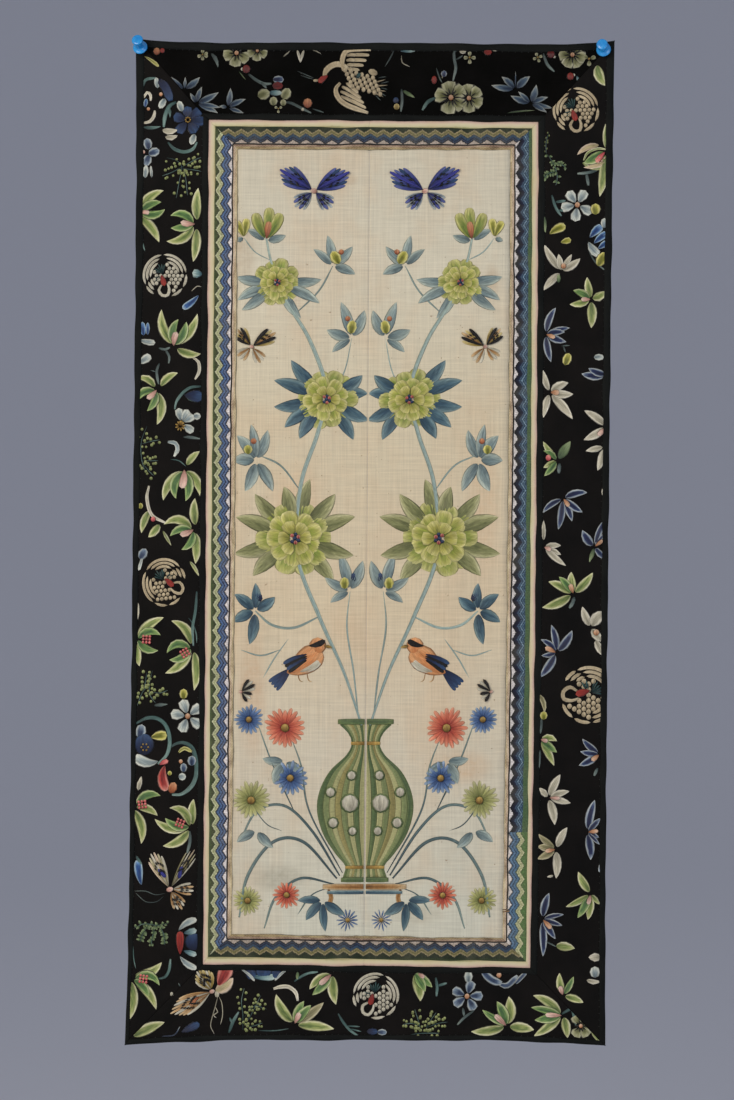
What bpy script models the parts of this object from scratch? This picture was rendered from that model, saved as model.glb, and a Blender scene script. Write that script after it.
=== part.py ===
"""Silk embroidery panel, hung by its two top corners on push pins.

Two ivory silk bands lie side by side with a seam between them. Each has its own edging of metallic
braid, zigzag ribbon and cream silk. The pair is framed with mitred strips of black silk between two
narrow black bindings. The cloth hangs in the XZ plane, and its back lies in the plane y = 0 at
the pins. The front faces -Y. The origin is the middle of the top edge.
"""

import math
from collections import namedtuple

import bmesh
import bpy
from mathutils import Vector

# Driving sizes, in millimetres
MM = 0.001
GAP = 0.3
MERGE = 0.001 * MM
SIDE_STEPS = 30
TOP_STEPS = 16

# Nested outlines, from the outer edge inwards. Each has four corners as x and z, and how far the
# middle of each side bows from a straight line: left and right along x, top and bottom along z.
Ring = namedtuple(
    "Ring", "top_left top_right bottom_left bottom_right bow_left bow_right bow_top bow_bottom"
)
RINGS = {
    "edge": Ring(
        (-172.4, 4.1), (172.4, 2.4), (-179.6, -719.4), (165.2, -719.8), 1.7, -0.9, -3.2, 3.3
    ),
    "frame_outer": Ring(
        (-166.3, -2.0), (166.7, -3.4), (-176.4, -715.2), (160.9, -715.7), 1.5, -0.9, -2.9, 3.0
    ),
    "frame_inner": Ring(
        (-123.9, -50.4), (121.9, -52.0), (-128.0, -666.2), (115.8, -668.8), 0.2, 1.1, -0.3, 0.3
    ),
    "cream_outer": Ring(
        (-119.7, -54.6), (117.6, -56.2), (-123.8, -662.0), (111.6, -664.6), 0.0, 1.1, 0.0, 0.2
    ),
    "ribbon_outer": Ring(
        (-114.8, -59.5), (112.8, -61.0), (-120.0, -656.4), (108.4, -659.8), 0.0, 1.0, 0.0, 0.0
    ),
    "braid_outer": Ring(
        (-102.0, -72.4), (100.4, -73.2), (-106.3, -643.5), (94.2, -645.7), 0.0, 0.9, 0.0, 0.0
    ),
    "field": Ring(
        (-98.6, -76.0), (97.3, -76.5), (-103.0, -640.1), (91.5, -643.0), 0.0, 0.9, 0.0, 0.0
    ),
}
# How flat a side's bow is along its middle: 2 is a plain arc, and more drops only near the corners
BOW_POWER = {"left": 6, "right": 2, "top": 8, "bottom": 4}

# The middle seam, which leans to the left on its way down
SEAM_TOP_X, SEAM_TOP_Z = -3.6, -54.6
SEAM_BOTTOM_X, SEAM_BOTTOM_Z = -7.9, -663.0

# Bands of the frame: their outer and inner outline, thickness, faces across and cut. A mitred band
# has one strip a side. A seamed band is also cut at the middle seam, at its top and bottom.
Band = namedtuple("Band", "outer inner thickness across cut")
BANDS = {
    "outer_binding": Band("edge", "frame_outer", 2.0, 1, "mitred"),
    "border": Band("frame_outer", "frame_inner", 1.4, 3, "mitred"),
    "inner_binding": Band("frame_inner", "cream_outer", 1.8, 1, "mitred"),
    "cream": Band("cream_outer", "ribbon_outer", 1.2, 1, "seamed"),
    "ribbon": Band("ribbon_outer", "braid_outer", 1.5, 1, "seamed"),
    "braid": Band("braid_outer", "field", 1.9, 1, "seamed"),
}
FIELD_THICKNESS = 1.2
FIELD_STEPS_ACROSS = 5

# The right ribbon, cream and braid are pieced from two lengths: the height of each join
JOIN_Z = {"ribbon": -567.0, "cream": -560.5, "braid": -567.6}

# Soft folds of the hanging cloth. Each is a ridge along a line from one point down to another, with
# its half width and its height. One that starts at a pin fades out again, and the others run off the
# bottom edge.
Fold = namedtuple("Fold", "start end half_width height fades_out")
FOLDS = (
    Fold((-150.0, -25.0), (-30.0, -250.0), 26.0, 1.8, True),
    Fold((148.0, -28.0), (40.0, -230.0), 24.0, 1.6, True),
    Fold((-112.0, -260.0), (-128.0, -715.0), 30.0, 2.6, False),
    Fold((-28.0, -330.0), (-40.0, -715.0), 26.0, 1.6, False),
    Fold((52.0, -300.0), (46.0, -715.0), 28.0, 2.2, False),
    Fold((128.0, -240.0), (122.0, -715.0), 26.0, 2.4, False),
)
FOLD_GROWS_OVER = 0.25
FOLD_FADES_OVER = 0.33
# The cloth's broad swell, its share at the side edges, and how far down it is full
BELLY = 2.2
BELLY_AT_SIDES = 0.35
BELLY_FULL_AT = 0.45
# The slack top edge leans forward between the pins, and the lower corners curl forward
TOP_LEAN = 4.2
TOP_LEAN_DEPTH = 42.0
CORNER_CURL = 5.0
CORNER_CURL_REACH = 75.0
# Around each pin the cloth lies flat in the plane y = 0, and comes free at this distance
HELD_FLAT_RADIUS = 16.0
HELD_FREE_RADIUS = 95.0

# Push pins: where the middle of the collar's back sits, and how far the head leans over its length
Pin = namedtuple("Pin", "collar lean")
PINS = {
    "left": Pin((-168.6, -3.5), (-1.4, 4.1)),
    "right": Pin((164.3, -4.8), (-2.3, 2.1)),
}
PIN_LENGTH = 12.0
PIN_STEPS = 20
NEEDLE_STEPS = 10
NEEDLE_RADIUS = 0.55
NEEDLE_OUT = 10.0
NEEDLE_TIP = 2.0
SOCKET_DEPTH = 5.0
COLLAR_RADIUS = 5.2
# The turned outline of a pin head: radius and height above the collar's back
HEAD_PROFILE = (
    (4.9, 0.0), (COLLAR_RADIUS, 0.4), (COLLAR_RADIUS, 1.3), (4.5, 1.9), (3.2, 2.5), (2.7, 3.8),
    (2.65, 6.4), (2.9, 8.4), (3.6, 9.6), (4.0, 10.2), (4.0, 11.2), (3.5, 11.8), (1.8, PIN_LENGTH),
)

# What each kind of piece is made of: colour, roughness and metallic value
FINISHES = {
    "field": ((0.78, 0.68, 0.52), 0.45, 0.0),
    "braid": ((0.40, 0.31, 0.17), 0.45, 0.4),
    "ribbon": ((0.20, 0.27, 0.24), 0.55, 0.0),
    "cream": ((0.72, 0.62, 0.50), 0.45, 0.0),
    "inner_binding": ((0.012, 0.011, 0.010), 0.5, 0.0),
    "border": ((0.010, 0.009, 0.008), 0.45, 0.0),
    "outer_binding": ((0.014, 0.015, 0.013), 0.5, 0.0),
    "pin_head": ((0.010, 0.25, 0.62), 0.25, 0.0),
    "pin_needle": ((0.62, 0.62, 0.64), 0.3, 1.0),
}


def clear_scene():
    for thing in list(bpy.data.objects):
        bpy.data.objects.remove(thing, do_unlink=True)


def mix(a, b, share):
    return a + (b - a) * share


def mix_points(a, b, share):
    return tuple(mix(p, q, share) for p, q in zip(a, b))


def smooth(value):
    """0 to 1 with soft ends."""
    value = min(1.0, max(0.0, value))
    return value * value * (3.0 - 2.0 * value)


def side_point(ring, side, share):
    """A point on one side of an outline, from the left or the top corner on."""
    corners = RINGS[ring]
    start, end = {
        "left": (corners.top_left, corners.bottom_left),
        "right": (corners.top_right, corners.bottom_right),
        "top": (corners.top_left, corners.top_right),
        "bottom": (corners.bottom_left, corners.bottom_right),
    }[side]
    x, z = mix_points(start, end, share)
    bow = getattr(corners, "bow_" + side) * (1.0 - abs(2.0 * share - 1.0) ** BOW_POWER[side])
    if side in ("left", "right"):
        return x + bow, z
    return x, z + bow


def seam_x(z):
    return mix(SEAM_TOP_X, SEAM_BOTTOM_X, (z - SEAM_TOP_Z) / (SEAM_BOTTOM_Z - SEAM_TOP_Z))


def seam_share(ring, side):
    """Where the middle seam crosses the top or bottom side of an outline."""
    left = side_point(ring, side, 0.0)
    right = side_point(ring, side, 1.0)
    return (seam_x(left[1]) - left[0]) / (right[0] - left[0])


def height_share(ring, side, z):
    """Where a height crosses the left or right side of an outline."""
    top = side_point(ring, side, 0.0)
    bottom = side_point(ring, side, 1.0)
    return (z - top[1]) / (bottom[1] - top[1])


def fold_height(x, z, fold):
    """How far one soft ridge lifts the cloth at a point."""
    start = Vector(fold.start)
    way = Vector(fold.end) - start
    along = (Vector((x, z)) - start).dot(way) / way.length_squared
    nearest = start + way * min(1.0, max(0.0, along))
    across = (Vector((x, z)) - nearest).length / fold.half_width
    height = fold.height * smooth(along / FOLD_GROWS_OVER)
    if fold.fades_out:
        height *= smooth((1.0 - along) / FOLD_FADES_OVER)
    return height * math.exp(-across * across)


def held_free(x, z):
    """0 where a pin holds the cloth flat, and 1 away from the pins."""
    free = 1.0
    for pin in PINS.values():
        distance = math.dist((x, z), pin.collar)
        free = min(free, smooth((distance - HELD_FLAT_RADIUS) / (HELD_FREE_RADIUS - HELD_FLAT_RADIUS)))
    return free


def lift(x, z):
    """How far the back of the cloth stands in front of the plane y = 0."""
    edge = RINGS["edge"]
    across = (x - edge.top_left[0]) / (edge.bottom_right[0] - edge.top_left[0])
    down = (z - edge.top_left[1]) / (edge.bottom_right[1] - edge.top_left[1])
    middle = math.sin(math.pi * min(1.0, max(0.0, across)))
    rise = BELLY * (BELLY_AT_SIDES + middle) * smooth(down / BELLY_FULL_AT)
    rise += TOP_LEAN * middle * math.exp(z / TOP_LEAN_DEPTH)
    rise += sum(fold_height(x, z, fold) for fold in FOLDS)
    for corner in (edge.bottom_left, edge.bottom_right):
        rise += CORNER_CURL * smooth(1.0 - math.dist((x, z), corner) / CORNER_CURL_REACH)
    return rise * held_free(x, z)


def make_material(kind):
    colour, roughness, metallic = FINISHES[kind]
    material = bpy.data.materials.new(kind)
    material.use_nodes = True
    shader = material.node_tree.nodes["Principled BSDF"]
    shader.inputs["Base Color"].default_value = (*colour, 1.0)
    shader.inputs["Roughness"].default_value = roughness
    shader.inputs["Metallic"].default_value = metallic
    material.diffuse_color = (*colour, 1.0)
    return material


def add_object(name, bm, kind):
    mesh = bpy.data.meshes.new(name)
    bm.to_mesh(mesh)
    bm.free()
    thing = bpy.data.objects.new(name, mesh)
    bpy.context.scene.collection.objects.link(thing)
    mesh.materials.append(make_material(kind))
    return thing


def add_sheet(name, kind, rows, thickness):
    """A closed sheet from rows of points on its back, thickened towards the front."""
    bm = bmesh.new()
    grid = [[bm.verts.new((x * MM, -lift(x, z) * MM, z * MM)) for x, z in row] for row in rows]
    for upper, lower in zip(grid, grid[1:]):
        for a, b, c, d in zip(upper, upper[1:], lower[1:], lower):
            bm.faces.new((a, b, c, d))
    front = bmesh.ops.extrude_face_region(bm, geom=bm.faces[:])
    moved = [part for part in front["geom"] if isinstance(part, bmesh.types.BMVert)]
    bmesh.ops.translate(bm, verts=moved, vec=(0.0, -thickness * MM, 0.0))
    bmesh.ops.recalc_face_normals(bm, faces=bm.faces[:])
    return add_object(name, bm, kind)


def strip_rows(band, side, starts, ends, steps):
    """Rows of points for one strip. starts and ends give the share of the side on its outer and
    inner outline, and the strip keeps half a gap to each neighbour."""
    outer, inner, _, across, _ = BANDS[band]
    rows = []
    for step in range(steps + 1):
        shares = [mix(starts[k], ends[k], step / steps) for k in (0, 1)]
        a = side_point(outer, side, shares[0])
        b = side_point(inner, side, shares[1])
        margin = 0.5 * GAP / math.dist(a, b)
        first = 0.0 if outer == "edge" else margin
        row = [mix_points(a, b, mix(first, 1.0 - margin, k / across)) for k in range(across + 1)]
        rows.append(row)
    return rows


def mitre_margin(ring, side):
    """Half a gap at a mitred end, as a share of the side's length."""
    length = math.dist(side_point(ring, side, 0.0), side_point(ring, side, 1.0))
    return 0.5 * GAP * math.sqrt(2.0) / length


def square_margin(ring, side):
    """Half a gap at a square end, as a share of the side's length."""
    return mitre_margin(ring, side) / math.sqrt(2.0)


def add_strip(band, side, name, cut=None, part=None):
    """One strip of a band. A cut gives the shares where it is divided, and part is which piece."""
    rings = (BANDS[band].outer, BANDS[band].inner)
    steps = SIDE_STEPS if side in ("left", "right") else TOP_STEPS
    starts = [mitre_margin(ring, side) for ring in rings]
    ends = [1.0 - mitre_margin(ring, side) for ring in rings]
    if part == "first":
        ends = [share - square_margin(ring, side) for ring, share in zip(rings, cut)]
    if part == "second":
        starts = [share + square_margin(ring, side) for ring, share in zip(rings, cut)]
    steps = max(2, round(steps * (ends[0] - starts[0])))
    rows = strip_rows(band, side, starts, ends, steps)
    return add_sheet(name, band, rows, BANDS[band].thickness)


def add_band(band):
    rings = (BANDS[band].outer, BANDS[band].inner)
    if BANDS[band].cut == "mitred":
        for side in ("top", "bottom", "left", "right"):
            add_strip(band, side, f"{band}_{side}")
        return
    add_strip(band, "left", f"{band}_left")
    joins = [height_share(ring, "right", JOIN_Z[band]) for ring in rings]
    add_strip(band, "right", f"{band}_right_upper", joins, "first")
    add_strip(band, "right", f"{band}_right_lower", joins, "second")
    for side in ("top", "bottom"):
        seams = [seam_share(ring, side) for ring in rings]
        add_strip(band, side, f"{band}_{side}_left", seams, "first")
        add_strip(band, side, f"{band}_{side}_right", seams, "second")


def add_field(half):
    """One ivory band, from its braid to the middle seam."""
    inset = 0.5 * GAP
    rows = []
    for step in range(SIDE_STEPS + 1):
        down = step / SIDE_STEPS
        edge_x, edge_z = side_point("field", half, down)
        towards_seam = 1.0 if half == "left" else -1.0
        margin_z = inset * (1.0 - 2.0 * down)
        middle = mix_points(
            side_point("field", "top", seam_share("field", "top")),
            side_point("field", "bottom", seam_share("field", "bottom")),
            down,
        )
        start = (edge_x + towards_seam * inset, edge_z - margin_z)
        end = (middle[0] - towards_seam * inset, middle[1] - margin_z)
        row = [mix_points(start, end, k / FIELD_STEPS_ACROSS) for k in range(FIELD_STEPS_ACROSS + 1)]
        rows.append(row)
    return add_sheet(f"field_{half}", "field", rows, FIELD_THICKNESS)


def pin_place(pin):
    """The middle of the collar's back, and the way that the head points."""
    lean_x, lean_z = pin.lean
    outwards = math.sqrt(PIN_LENGTH**2 - lean_x**2 - lean_z**2)
    way = Vector((lean_x, -outwards, lean_z)).normalized()
    tilt = math.hypot(way.x, way.z)
    stand_off = BANDS["outer_binding"].thickness + GAP + COLLAR_RADIUS * tilt
    return Vector((pin.collar[0], -stand_off, pin.collar[1])) * MM, way


def add_turned(name, kind, profile, place, way, steps=PIN_STEPS):
    """A closed turned solid from an outline that starts and ends on the axis."""
    bm = bmesh.new()
    points = [bm.verts.new((radius * MM, 0.0, height * MM)) for radius, height in profile]
    edges = [bm.edges.new(pair) for pair in zip(points, points[1:])]
    bmesh.ops.spin(
        bm, geom=points + edges, cent=(0.0, 0.0, 0.0), axis=(0.0, 0.0, 1.0),
        angle=math.tau, steps=steps, use_merge=True,
    )
    bmesh.ops.remove_doubles(bm, verts=bm.verts[:], dist=MERGE)
    bmesh.ops.recalc_face_normals(bm, faces=bm.faces[:])
    thing = add_object(name, bm, kind)
    thing.location = place
    thing.rotation_mode = "QUATERNION"
    thing.rotation_quaternion = way.to_track_quat("Z", "Y")
    thing.data.shade_smooth()
    thing.data.set_sharp_from_angle(angle=math.radians(40.0))
    return thing


def add_pin(side):
    """A push pin: its head with a socket, and the needle that stands in it."""
    place, way = pin_place(PINS[side])
    socket = NEEDLE_RADIUS + GAP
    profile = ((0.0, SOCKET_DEPTH), (socket, SOCKET_DEPTH), (socket, 0.0), *HEAD_PROFILE, (0.0, PIN_LENGTH))
    add_turned(f"pin_head_{side}", "pin_head", profile, place, way)
    inner_end = SOCKET_DEPTH - GAP
    needle = (
        (0.0, inner_end), (NEEDLE_RADIUS, inner_end),
        (NEEDLE_RADIUS, NEEDLE_TIP - NEEDLE_OUT), (0.0, -NEEDLE_OUT),
    )
    add_turned(f"pin_needle_{side}", "pin_needle", needle, place, way, steps=NEEDLE_STEPS)
    hole = ((0.0, SOCKET_DEPTH), (socket, SOCKET_DEPTH), (socket, -NEEDLE_OUT), (0.0, -NEEDLE_OUT))
    cutter = add_turned(f"needle_room_{side}", "pin_needle", hole, place, way, steps=NEEDLE_STEPS)
    cutter.hide_render = True
    cutter.display_type = "WIRE"
    return cutter


def pierce(names, cutter):
    """Clears the way of a needle through the cloth."""
    for name in names:
        cut = bpy.data.objects[name].modifiers.new("needle_hole", "BOOLEAN")
        cut.operation = "DIFFERENCE"
        cut.object = cutter


clear_scene()
for band_name in BANDS:
    add_band(band_name)
for half_name in ("left", "right"):
    add_field(half_name)
pierce(["outer_binding_left"], add_pin("left"))
pierce(["border_top", "border_right"], add_pin("right"))
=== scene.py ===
"""Silk embroidery panel: two ivory sleeve bands in a mitred black silk frame, hung on two push pins.

All lengths are in millimetres in the panel's own plane, x to the right and z up, and turned to metres
where a mesh is made. Heights stand out from the plane behind the cloth, towards the camera, which looks
along +Y.
"""

import math
from collections import namedtuple

import bmesh
import bpy
import numpy as np
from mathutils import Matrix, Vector


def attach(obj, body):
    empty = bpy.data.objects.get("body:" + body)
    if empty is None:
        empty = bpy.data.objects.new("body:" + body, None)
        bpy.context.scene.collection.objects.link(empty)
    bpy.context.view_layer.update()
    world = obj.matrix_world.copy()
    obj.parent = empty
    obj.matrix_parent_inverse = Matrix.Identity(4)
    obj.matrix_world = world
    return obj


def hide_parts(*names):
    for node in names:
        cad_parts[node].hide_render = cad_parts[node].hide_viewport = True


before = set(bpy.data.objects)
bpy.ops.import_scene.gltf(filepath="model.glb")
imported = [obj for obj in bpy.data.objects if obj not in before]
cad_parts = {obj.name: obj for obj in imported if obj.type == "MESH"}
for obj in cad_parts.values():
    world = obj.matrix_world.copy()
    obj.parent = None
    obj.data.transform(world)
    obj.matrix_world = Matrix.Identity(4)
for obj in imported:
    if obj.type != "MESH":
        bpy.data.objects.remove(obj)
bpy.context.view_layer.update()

MM = 0.001

# The panel's nested outlines, from the outer edge inwards, as in the solids
Ring = namedtuple("Ring", "top_left top_right bottom_left bottom_right bow_left bow_right bow_top bow_bottom")
RINGS = {
    "edge": Ring((-172.4, 4.1), (172.4, 2.4), (-179.6, -719.4), (165.2, -719.8), 1.7, -0.9, -3.2, 3.3),
    "frame_outer": Ring((-166.3, -2.0), (166.7, -3.4), (-176.4, -715.2), (160.9, -715.7),
        1.5, -0.9, -2.9, 3.0),
    "frame_inner": Ring((-123.9, -50.4), (121.9, -52.0), (-128.0, -666.2), (115.8, -668.8),
        0.2, 1.1, -0.3, 0.3),
    "cream_outer": Ring((-119.7, -54.6), (117.6, -56.2), (-123.8, -662.0), (111.6, -664.6),
        0.0, 1.1, 0.0, 0.2),
    "ribbon_outer": Ring((-114.8, -59.5), (112.8, -61.0), (-120.0, -656.4), (108.4, -659.8),
        0.0, 1.0, 0.0, 0.0),
    "braid_outer": Ring((-102.0, -72.4), (100.4, -73.2), (-106.3, -643.5), (94.2, -645.7),
        0.0, 0.9, 0.0, 0.0),
    "field": Ring((-98.6, -76.0), (97.3, -76.5), (-103.0, -640.1), (91.5, -643.0), 0.0, 0.9, 0.0, 0.0),
}
BOW_POWER = {"left": 6, "right": 2, "top": 8, "bottom": 4}
SIDES = ("top", "bottom", "left", "right")
SEAM_TOP_X, SEAM_TOP_Z = -3.6, -54.6
SEAM_BOTTOM_X, SEAM_BOTTOM_Z = -7.9, -663.0
JOIN_Z = {"ribbon": -567.0, "cream": -560.5, "braid": -567.6}

# The hanging cloth's soft folds, swell, leaning top edge and curling corners, as in the solids
Fold = namedtuple("Fold", "start end half_width height fades_out")
FOLDS = (
    Fold((-150.0, -25.0), (-30.0, -250.0), 26.0, 1.8, True),
    Fold((148.0, -28.0), (40.0, -230.0), 24.0, 1.6, True),
    Fold((-112.0, -260.0), (-128.0, -715.0), 30.0, 2.6, False),
    Fold((-28.0, -330.0), (-40.0, -715.0), 26.0, 1.6, False),
    Fold((52.0, -300.0), (46.0, -715.0), 28.0, 2.2, False),
    Fold((128.0, -240.0), (122.0, -715.0), 26.0, 2.4, False),
)
FOLD_GROWS_OVER = 0.25
FOLD_FADES_OVER = 0.33
BELLY = 2.2
BELLY_AT_SIDES = 0.35
BELLY_FULL_AT = 0.45
TOP_LEAN = 4.2
TOP_LEAN_DEPTH = 42.0
CORNER_CURL = 5.0
CORNER_CURL_REACH = 75.0
HELD_FLAT_RADIUS = 16.0
HELD_FREE_RADIUS = 95.0

# Push pins: where the middle of the collar's back sits, and how far the head leans over its length
Pin = namedtuple("Pin", "collar lean")
PINS = {
    "left": Pin((-168.6, -3.5), (-1.4, 4.1)),
    "right": Pin((164.3, -4.8), (-2.3, 2.1)),
}
PIN_LENGTH = 12.0
PIN_CLOTH = 2.0
PIN_GAP = 0.3
COLLAR_RADIUS = 5.2

# The place that the photo's middle shows
PHOTO_MIDDLE_X, PHOTO_MIDDLE_Z = -5.8, -364.2


# Form of the hanging cloth


def smooth(value):
    value = np.clip(value, 0.0, 1.0)
    return value * value * (3.0 - 2.0 * value)


def fold_height(x, z, fold):
    start_x, start_z = fold.start
    way_x, way_z = fold.end[0] - start_x, fold.end[1] - start_z
    along = ((x - start_x) * way_x + (z - start_z) * way_z) / (way_x**2 + way_z**2)
    nearest = np.clip(along, 0.0, 1.0)
    across = np.hypot(x - start_x - way_x * nearest, z - start_z - way_z * nearest)
    height = fold.height * smooth(along / FOLD_GROWS_OVER)
    if fold.fades_out:
        height = height * smooth((1.0 - along) / FOLD_FADES_OVER)
    return height * np.exp(-((across / fold.half_width) ** 2))


def lift(x, z):
    """How far the cloth's back stands out, for arrays of places."""
    edge = RINGS["edge"]
    across = (x - edge.top_left[0]) / (edge.bottom_right[0] - edge.top_left[0])
    down = (z - edge.top_left[1]) / (edge.bottom_right[1] - edge.top_left[1])
    middle = np.sin(math.pi * np.clip(across, 0.0, 1.0))
    rise = BELLY * (BELLY_AT_SIDES + middle) * smooth(down / BELLY_FULL_AT)
    rise = rise + TOP_LEAN * middle * np.exp(z / TOP_LEAN_DEPTH)
    for fold in FOLDS:
        rise = rise + fold_height(x, z, fold)
    for corner_x, corner_z in (edge.bottom_left, edge.bottom_right):
        away = np.hypot(x - corner_x, z - corner_z) / CORNER_CURL_REACH
        rise = rise + CORNER_CURL * smooth(1.0 - away)
    for pin in PINS.values():
        distance = np.hypot(x - pin.collar[0], z - pin.collar[1])
        free = smooth((distance - HELD_FLAT_RADIUS) / (HELD_FREE_RADIUS - HELD_FLAT_RADIUS))
        rise = rise * free
    return rise


def placed(x, z, height):
    """Points in metres, for places on the panel and heights above the cloth's back."""
    x, z, height = np.broadcast_arrays(x, z, height)
    return np.stack([x, -(lift(x, z) + height), z], axis=-1) * MM


# How far a hand-sewn line strays from the straight one, with its wave lengths
STRAY = 0.16
STRAY_WAVES = (31.0, 47.0, 83.0)
STRAY_ENDS = 12.0


def strayed(ring, side, share, length):
    phase = 7.0 * list(RINGS).index(ring) + 2.3 * list(BOW_POWER).index(side)
    waves = sum(np.sin(share * length / wave * math.tau + phase * wave) for wave in STRAY_WAVES)
    return STRAY * waves * smooth(share * STRAY_ENDS) * smooth((1.0 - share) * STRAY_ENDS)


def side_points(ring, side, share):
    """Points on one side of an outline, from its left or top corner on."""
    share = np.asarray(share, float)
    corners = RINGS[ring]
    start, end = {
        "left": (corners.top_left, corners.bottom_left),
        "right": (corners.top_right, corners.bottom_right),
        "top": (corners.top_left, corners.top_right),
        "bottom": (corners.bottom_left, corners.bottom_right),
    }[side]
    x = start[0] + (end[0] - start[0]) * share
    z = start[1] + (end[1] - start[1]) * share
    reach = np.clip(np.abs(2.0 * share - 1.0), 0.0, 1.0) ** BOW_POWER[side]
    off = getattr(corners, "bow_" + side) * (1.0 - reach)
    off = off + strayed(ring, side, share, math.dist(start, end))
    if side in ("left", "right"):
        return x + off, z
    return x, z + off


def seam_x(z):
    down = (z - SEAM_TOP_Z) / (SEAM_BOTTOM_Z - SEAM_TOP_Z)
    return SEAM_TOP_X + (SEAM_BOTTOM_X - SEAM_TOP_X) * down


def side_ends(ring, side):
    return [[float(value) for value in side_points(ring, side, share)] for share in (0.0, 1.0)]


def seam_share(ring, side):
    left, right = side_ends(ring, side)
    return (seam_x(left[1]) - left[0]) / (right[0] - left[0])


def height_share(ring, side, z):
    (_, top), (_, bottom) = side_ends(ring, side)
    return (z - top) / (bottom - top)


# Materials


MATH = "ShaderNodeMath"
VECTOR_MATH = "ShaderNodeVectorMath"
MIX = "ShaderNodeMix"
RAMP = "ShaderNodeValToRGB"
RANGE = "ShaderNodeMapRange"
NOISE = "ShaderNodeTexNoise"
MAPPING = "ShaderNodeMapping"
SPLIT = "ShaderNodeSeparateXYZ"


def colour(hex_code):
    """A linear colour with alpha, from an sRGB hex value."""
    parts = [int(hex_code[k : k + 2], 16) / 255.0 for k in (1, 3, 5)]
    linear = [p / 12.92 if p <= 0.04045 else ((p + 0.055) / 1.055) ** 2.4 for p in parts]
    return (*linear, 1.0)


def add_node(tree, kind, inputs, output=0, stops=(), **settings):
    """Adds a node with its settings, links or sets its inputs and gives one of its outputs.

    Stops are a colour ramp's places and hex colours.
    """
    node = tree.nodes.new(kind)
    for name, value in settings.items():
        setattr(node, name, value)
    for name, value in inputs.items():
        if isinstance(value, bpy.types.NodeSocket):
            tree.links.new(value, node.inputs[name])
        else:
            node.inputs[name].default_value = value
    for index, (place, hex_code) in enumerate(stops):
        elements = node.color_ramp.elements
        if index >= len(elements):
            elements.new(place)
        elements[index].position = place
        elements[index].color = colour(hex_code)
    return node.outputs[output]


def new_material(name, roughness, **values):
    """A material with a Principled shader. Values name its sockets with _ for a space."""
    material = bpy.data.materials.new(name)
    material.use_nodes = True
    shader = material.node_tree.nodes["Principled BSDF"]
    shader.inputs["Roughness"].default_value = roughness
    for key, value in values.items():
        shader.inputs[key.replace("_", " ")].default_value = value
    return material, material.node_tree, shader


def cloth_map(tree):
    """The piece's own map: the place along and across the cloth, in millimetres."""
    uv = add_node(tree, "ShaderNodeUVMap", {}, uv_map="cloth_mm")
    return uv, add_node(tree, SPLIT, {0: uv}, 0), add_node(tree, SPLIT, {0: uv}, 1)


def panel_place(tree):
    """The place in millimetres in the panel's frame."""
    place = add_node(tree, "ShaderNodeTexCoord", {}, 3)
    return add_node(tree, VECTOR_MATH, {0: place, 1: (1.0 / MM,) * 3}, operation="MULTIPLY")


def drawn_out_noise(tree, vector, scale, stretch, detail=2.0, roughness=0.6):
    """Noise drawn out along one way of the cloth."""
    vector = add_node(tree, MAPPING, {"Vector": vector, "Scale": stretch})
    return add_node(
        tree, NOISE, {"Vector": vector, "Scale": scale, "Detail": detail, "Roughness": roughness}
    )


def waves(tree, value, length):
    """A sine wave along a value, from -1 to 1."""
    turns = add_node(tree, MATH, {0: value, 1: math.tau / length}, operation="MULTIPLY")
    return add_node(tree, MATH, {0: turns}, operation="SINE")


def woven_height(tree, along, across, thread_along, thread_across):
    """Over and under threads of a plain weave, from -1 to 1."""
    warp, weft = waves(tree, along, thread_along), waves(tree, across, thread_across)
    return add_node(tree, MATH, {0: warp, 1: weft}, operation="MULTIPLY")


def shaded(tree, base, value, span, shades):
    """The base colour, darker or lighter as a value runs over its span."""
    shade = add_node(tree, RANGE, {
        "Value": value, "From Min": span[0], "From Max": span[1], "To Min": shades[0], "To Max": shades[1],
    })
    return add_node(tree, MIX, {0: 1.0, 6: base, 7: shade}, 2, data_type="RGBA", blend_type="MULTIPLY")


def faded(tree, base, value, span, most, hex_code):
    """The base colour gone over to another one, at most by a share, as a value runs over its span."""
    amount = add_node(tree, RANGE, {
        "Value": value, "From Min": span[0], "From Max": span[1], "To Max": most,
    })
    return add_node(tree, MIX, {0: amount, 6: base, 7: colour(hex_code)}, 2, data_type="RGBA")


def finish_surface(tree, shader, base, height, strength, depth_mm):
    """Gives the shader its colour and its relief."""
    tree.links.new(base, shader.inputs["Base Color"])
    bump = add_node(
        tree, "ShaderNodeBump", {"Height": height, "Strength": strength, "Distance": depth_mm * MM}
    )
    tree.links.new(bump, shader.inputs["Normal"])


def stained(tree, base, place, x, z, reach_x, reach_z, hex_code, strength):
    """A cloudy stain in an oval place on the panel."""
    oval = add_node(tree, MAPPING, {
        "Vector": place,
        "Location": (-x / reach_x, 0.0, -z / reach_z),
        "Scale": (1.0 / reach_x, 0.0, 1.0 / reach_z),
    })
    away = add_node(tree, VECTOR_MATH, {0: oval}, 1, operation="LENGTH")
    near = add_node(
        tree, RANGE, {"Value": away, "From Min": 1.0, "From Max": 0.2}, interpolation_type="SMOOTHSTEP"
    )
    cloud = drawn_out_noise(tree, place, 0.22, (1.0, 1.0, 1.0), 3.0)
    amount = add_node(tree, MATH, {0: near, 1: cloud}, operation="MULTIPLY")
    amount = add_node(tree, MATH, {0: amount, 1: strength}, operation="MULTIPLY")
    return add_node(tree, MIX, {0: amount, 6: base, 7: colour(hex_code)}, 2, data_type="RGBA")


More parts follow.
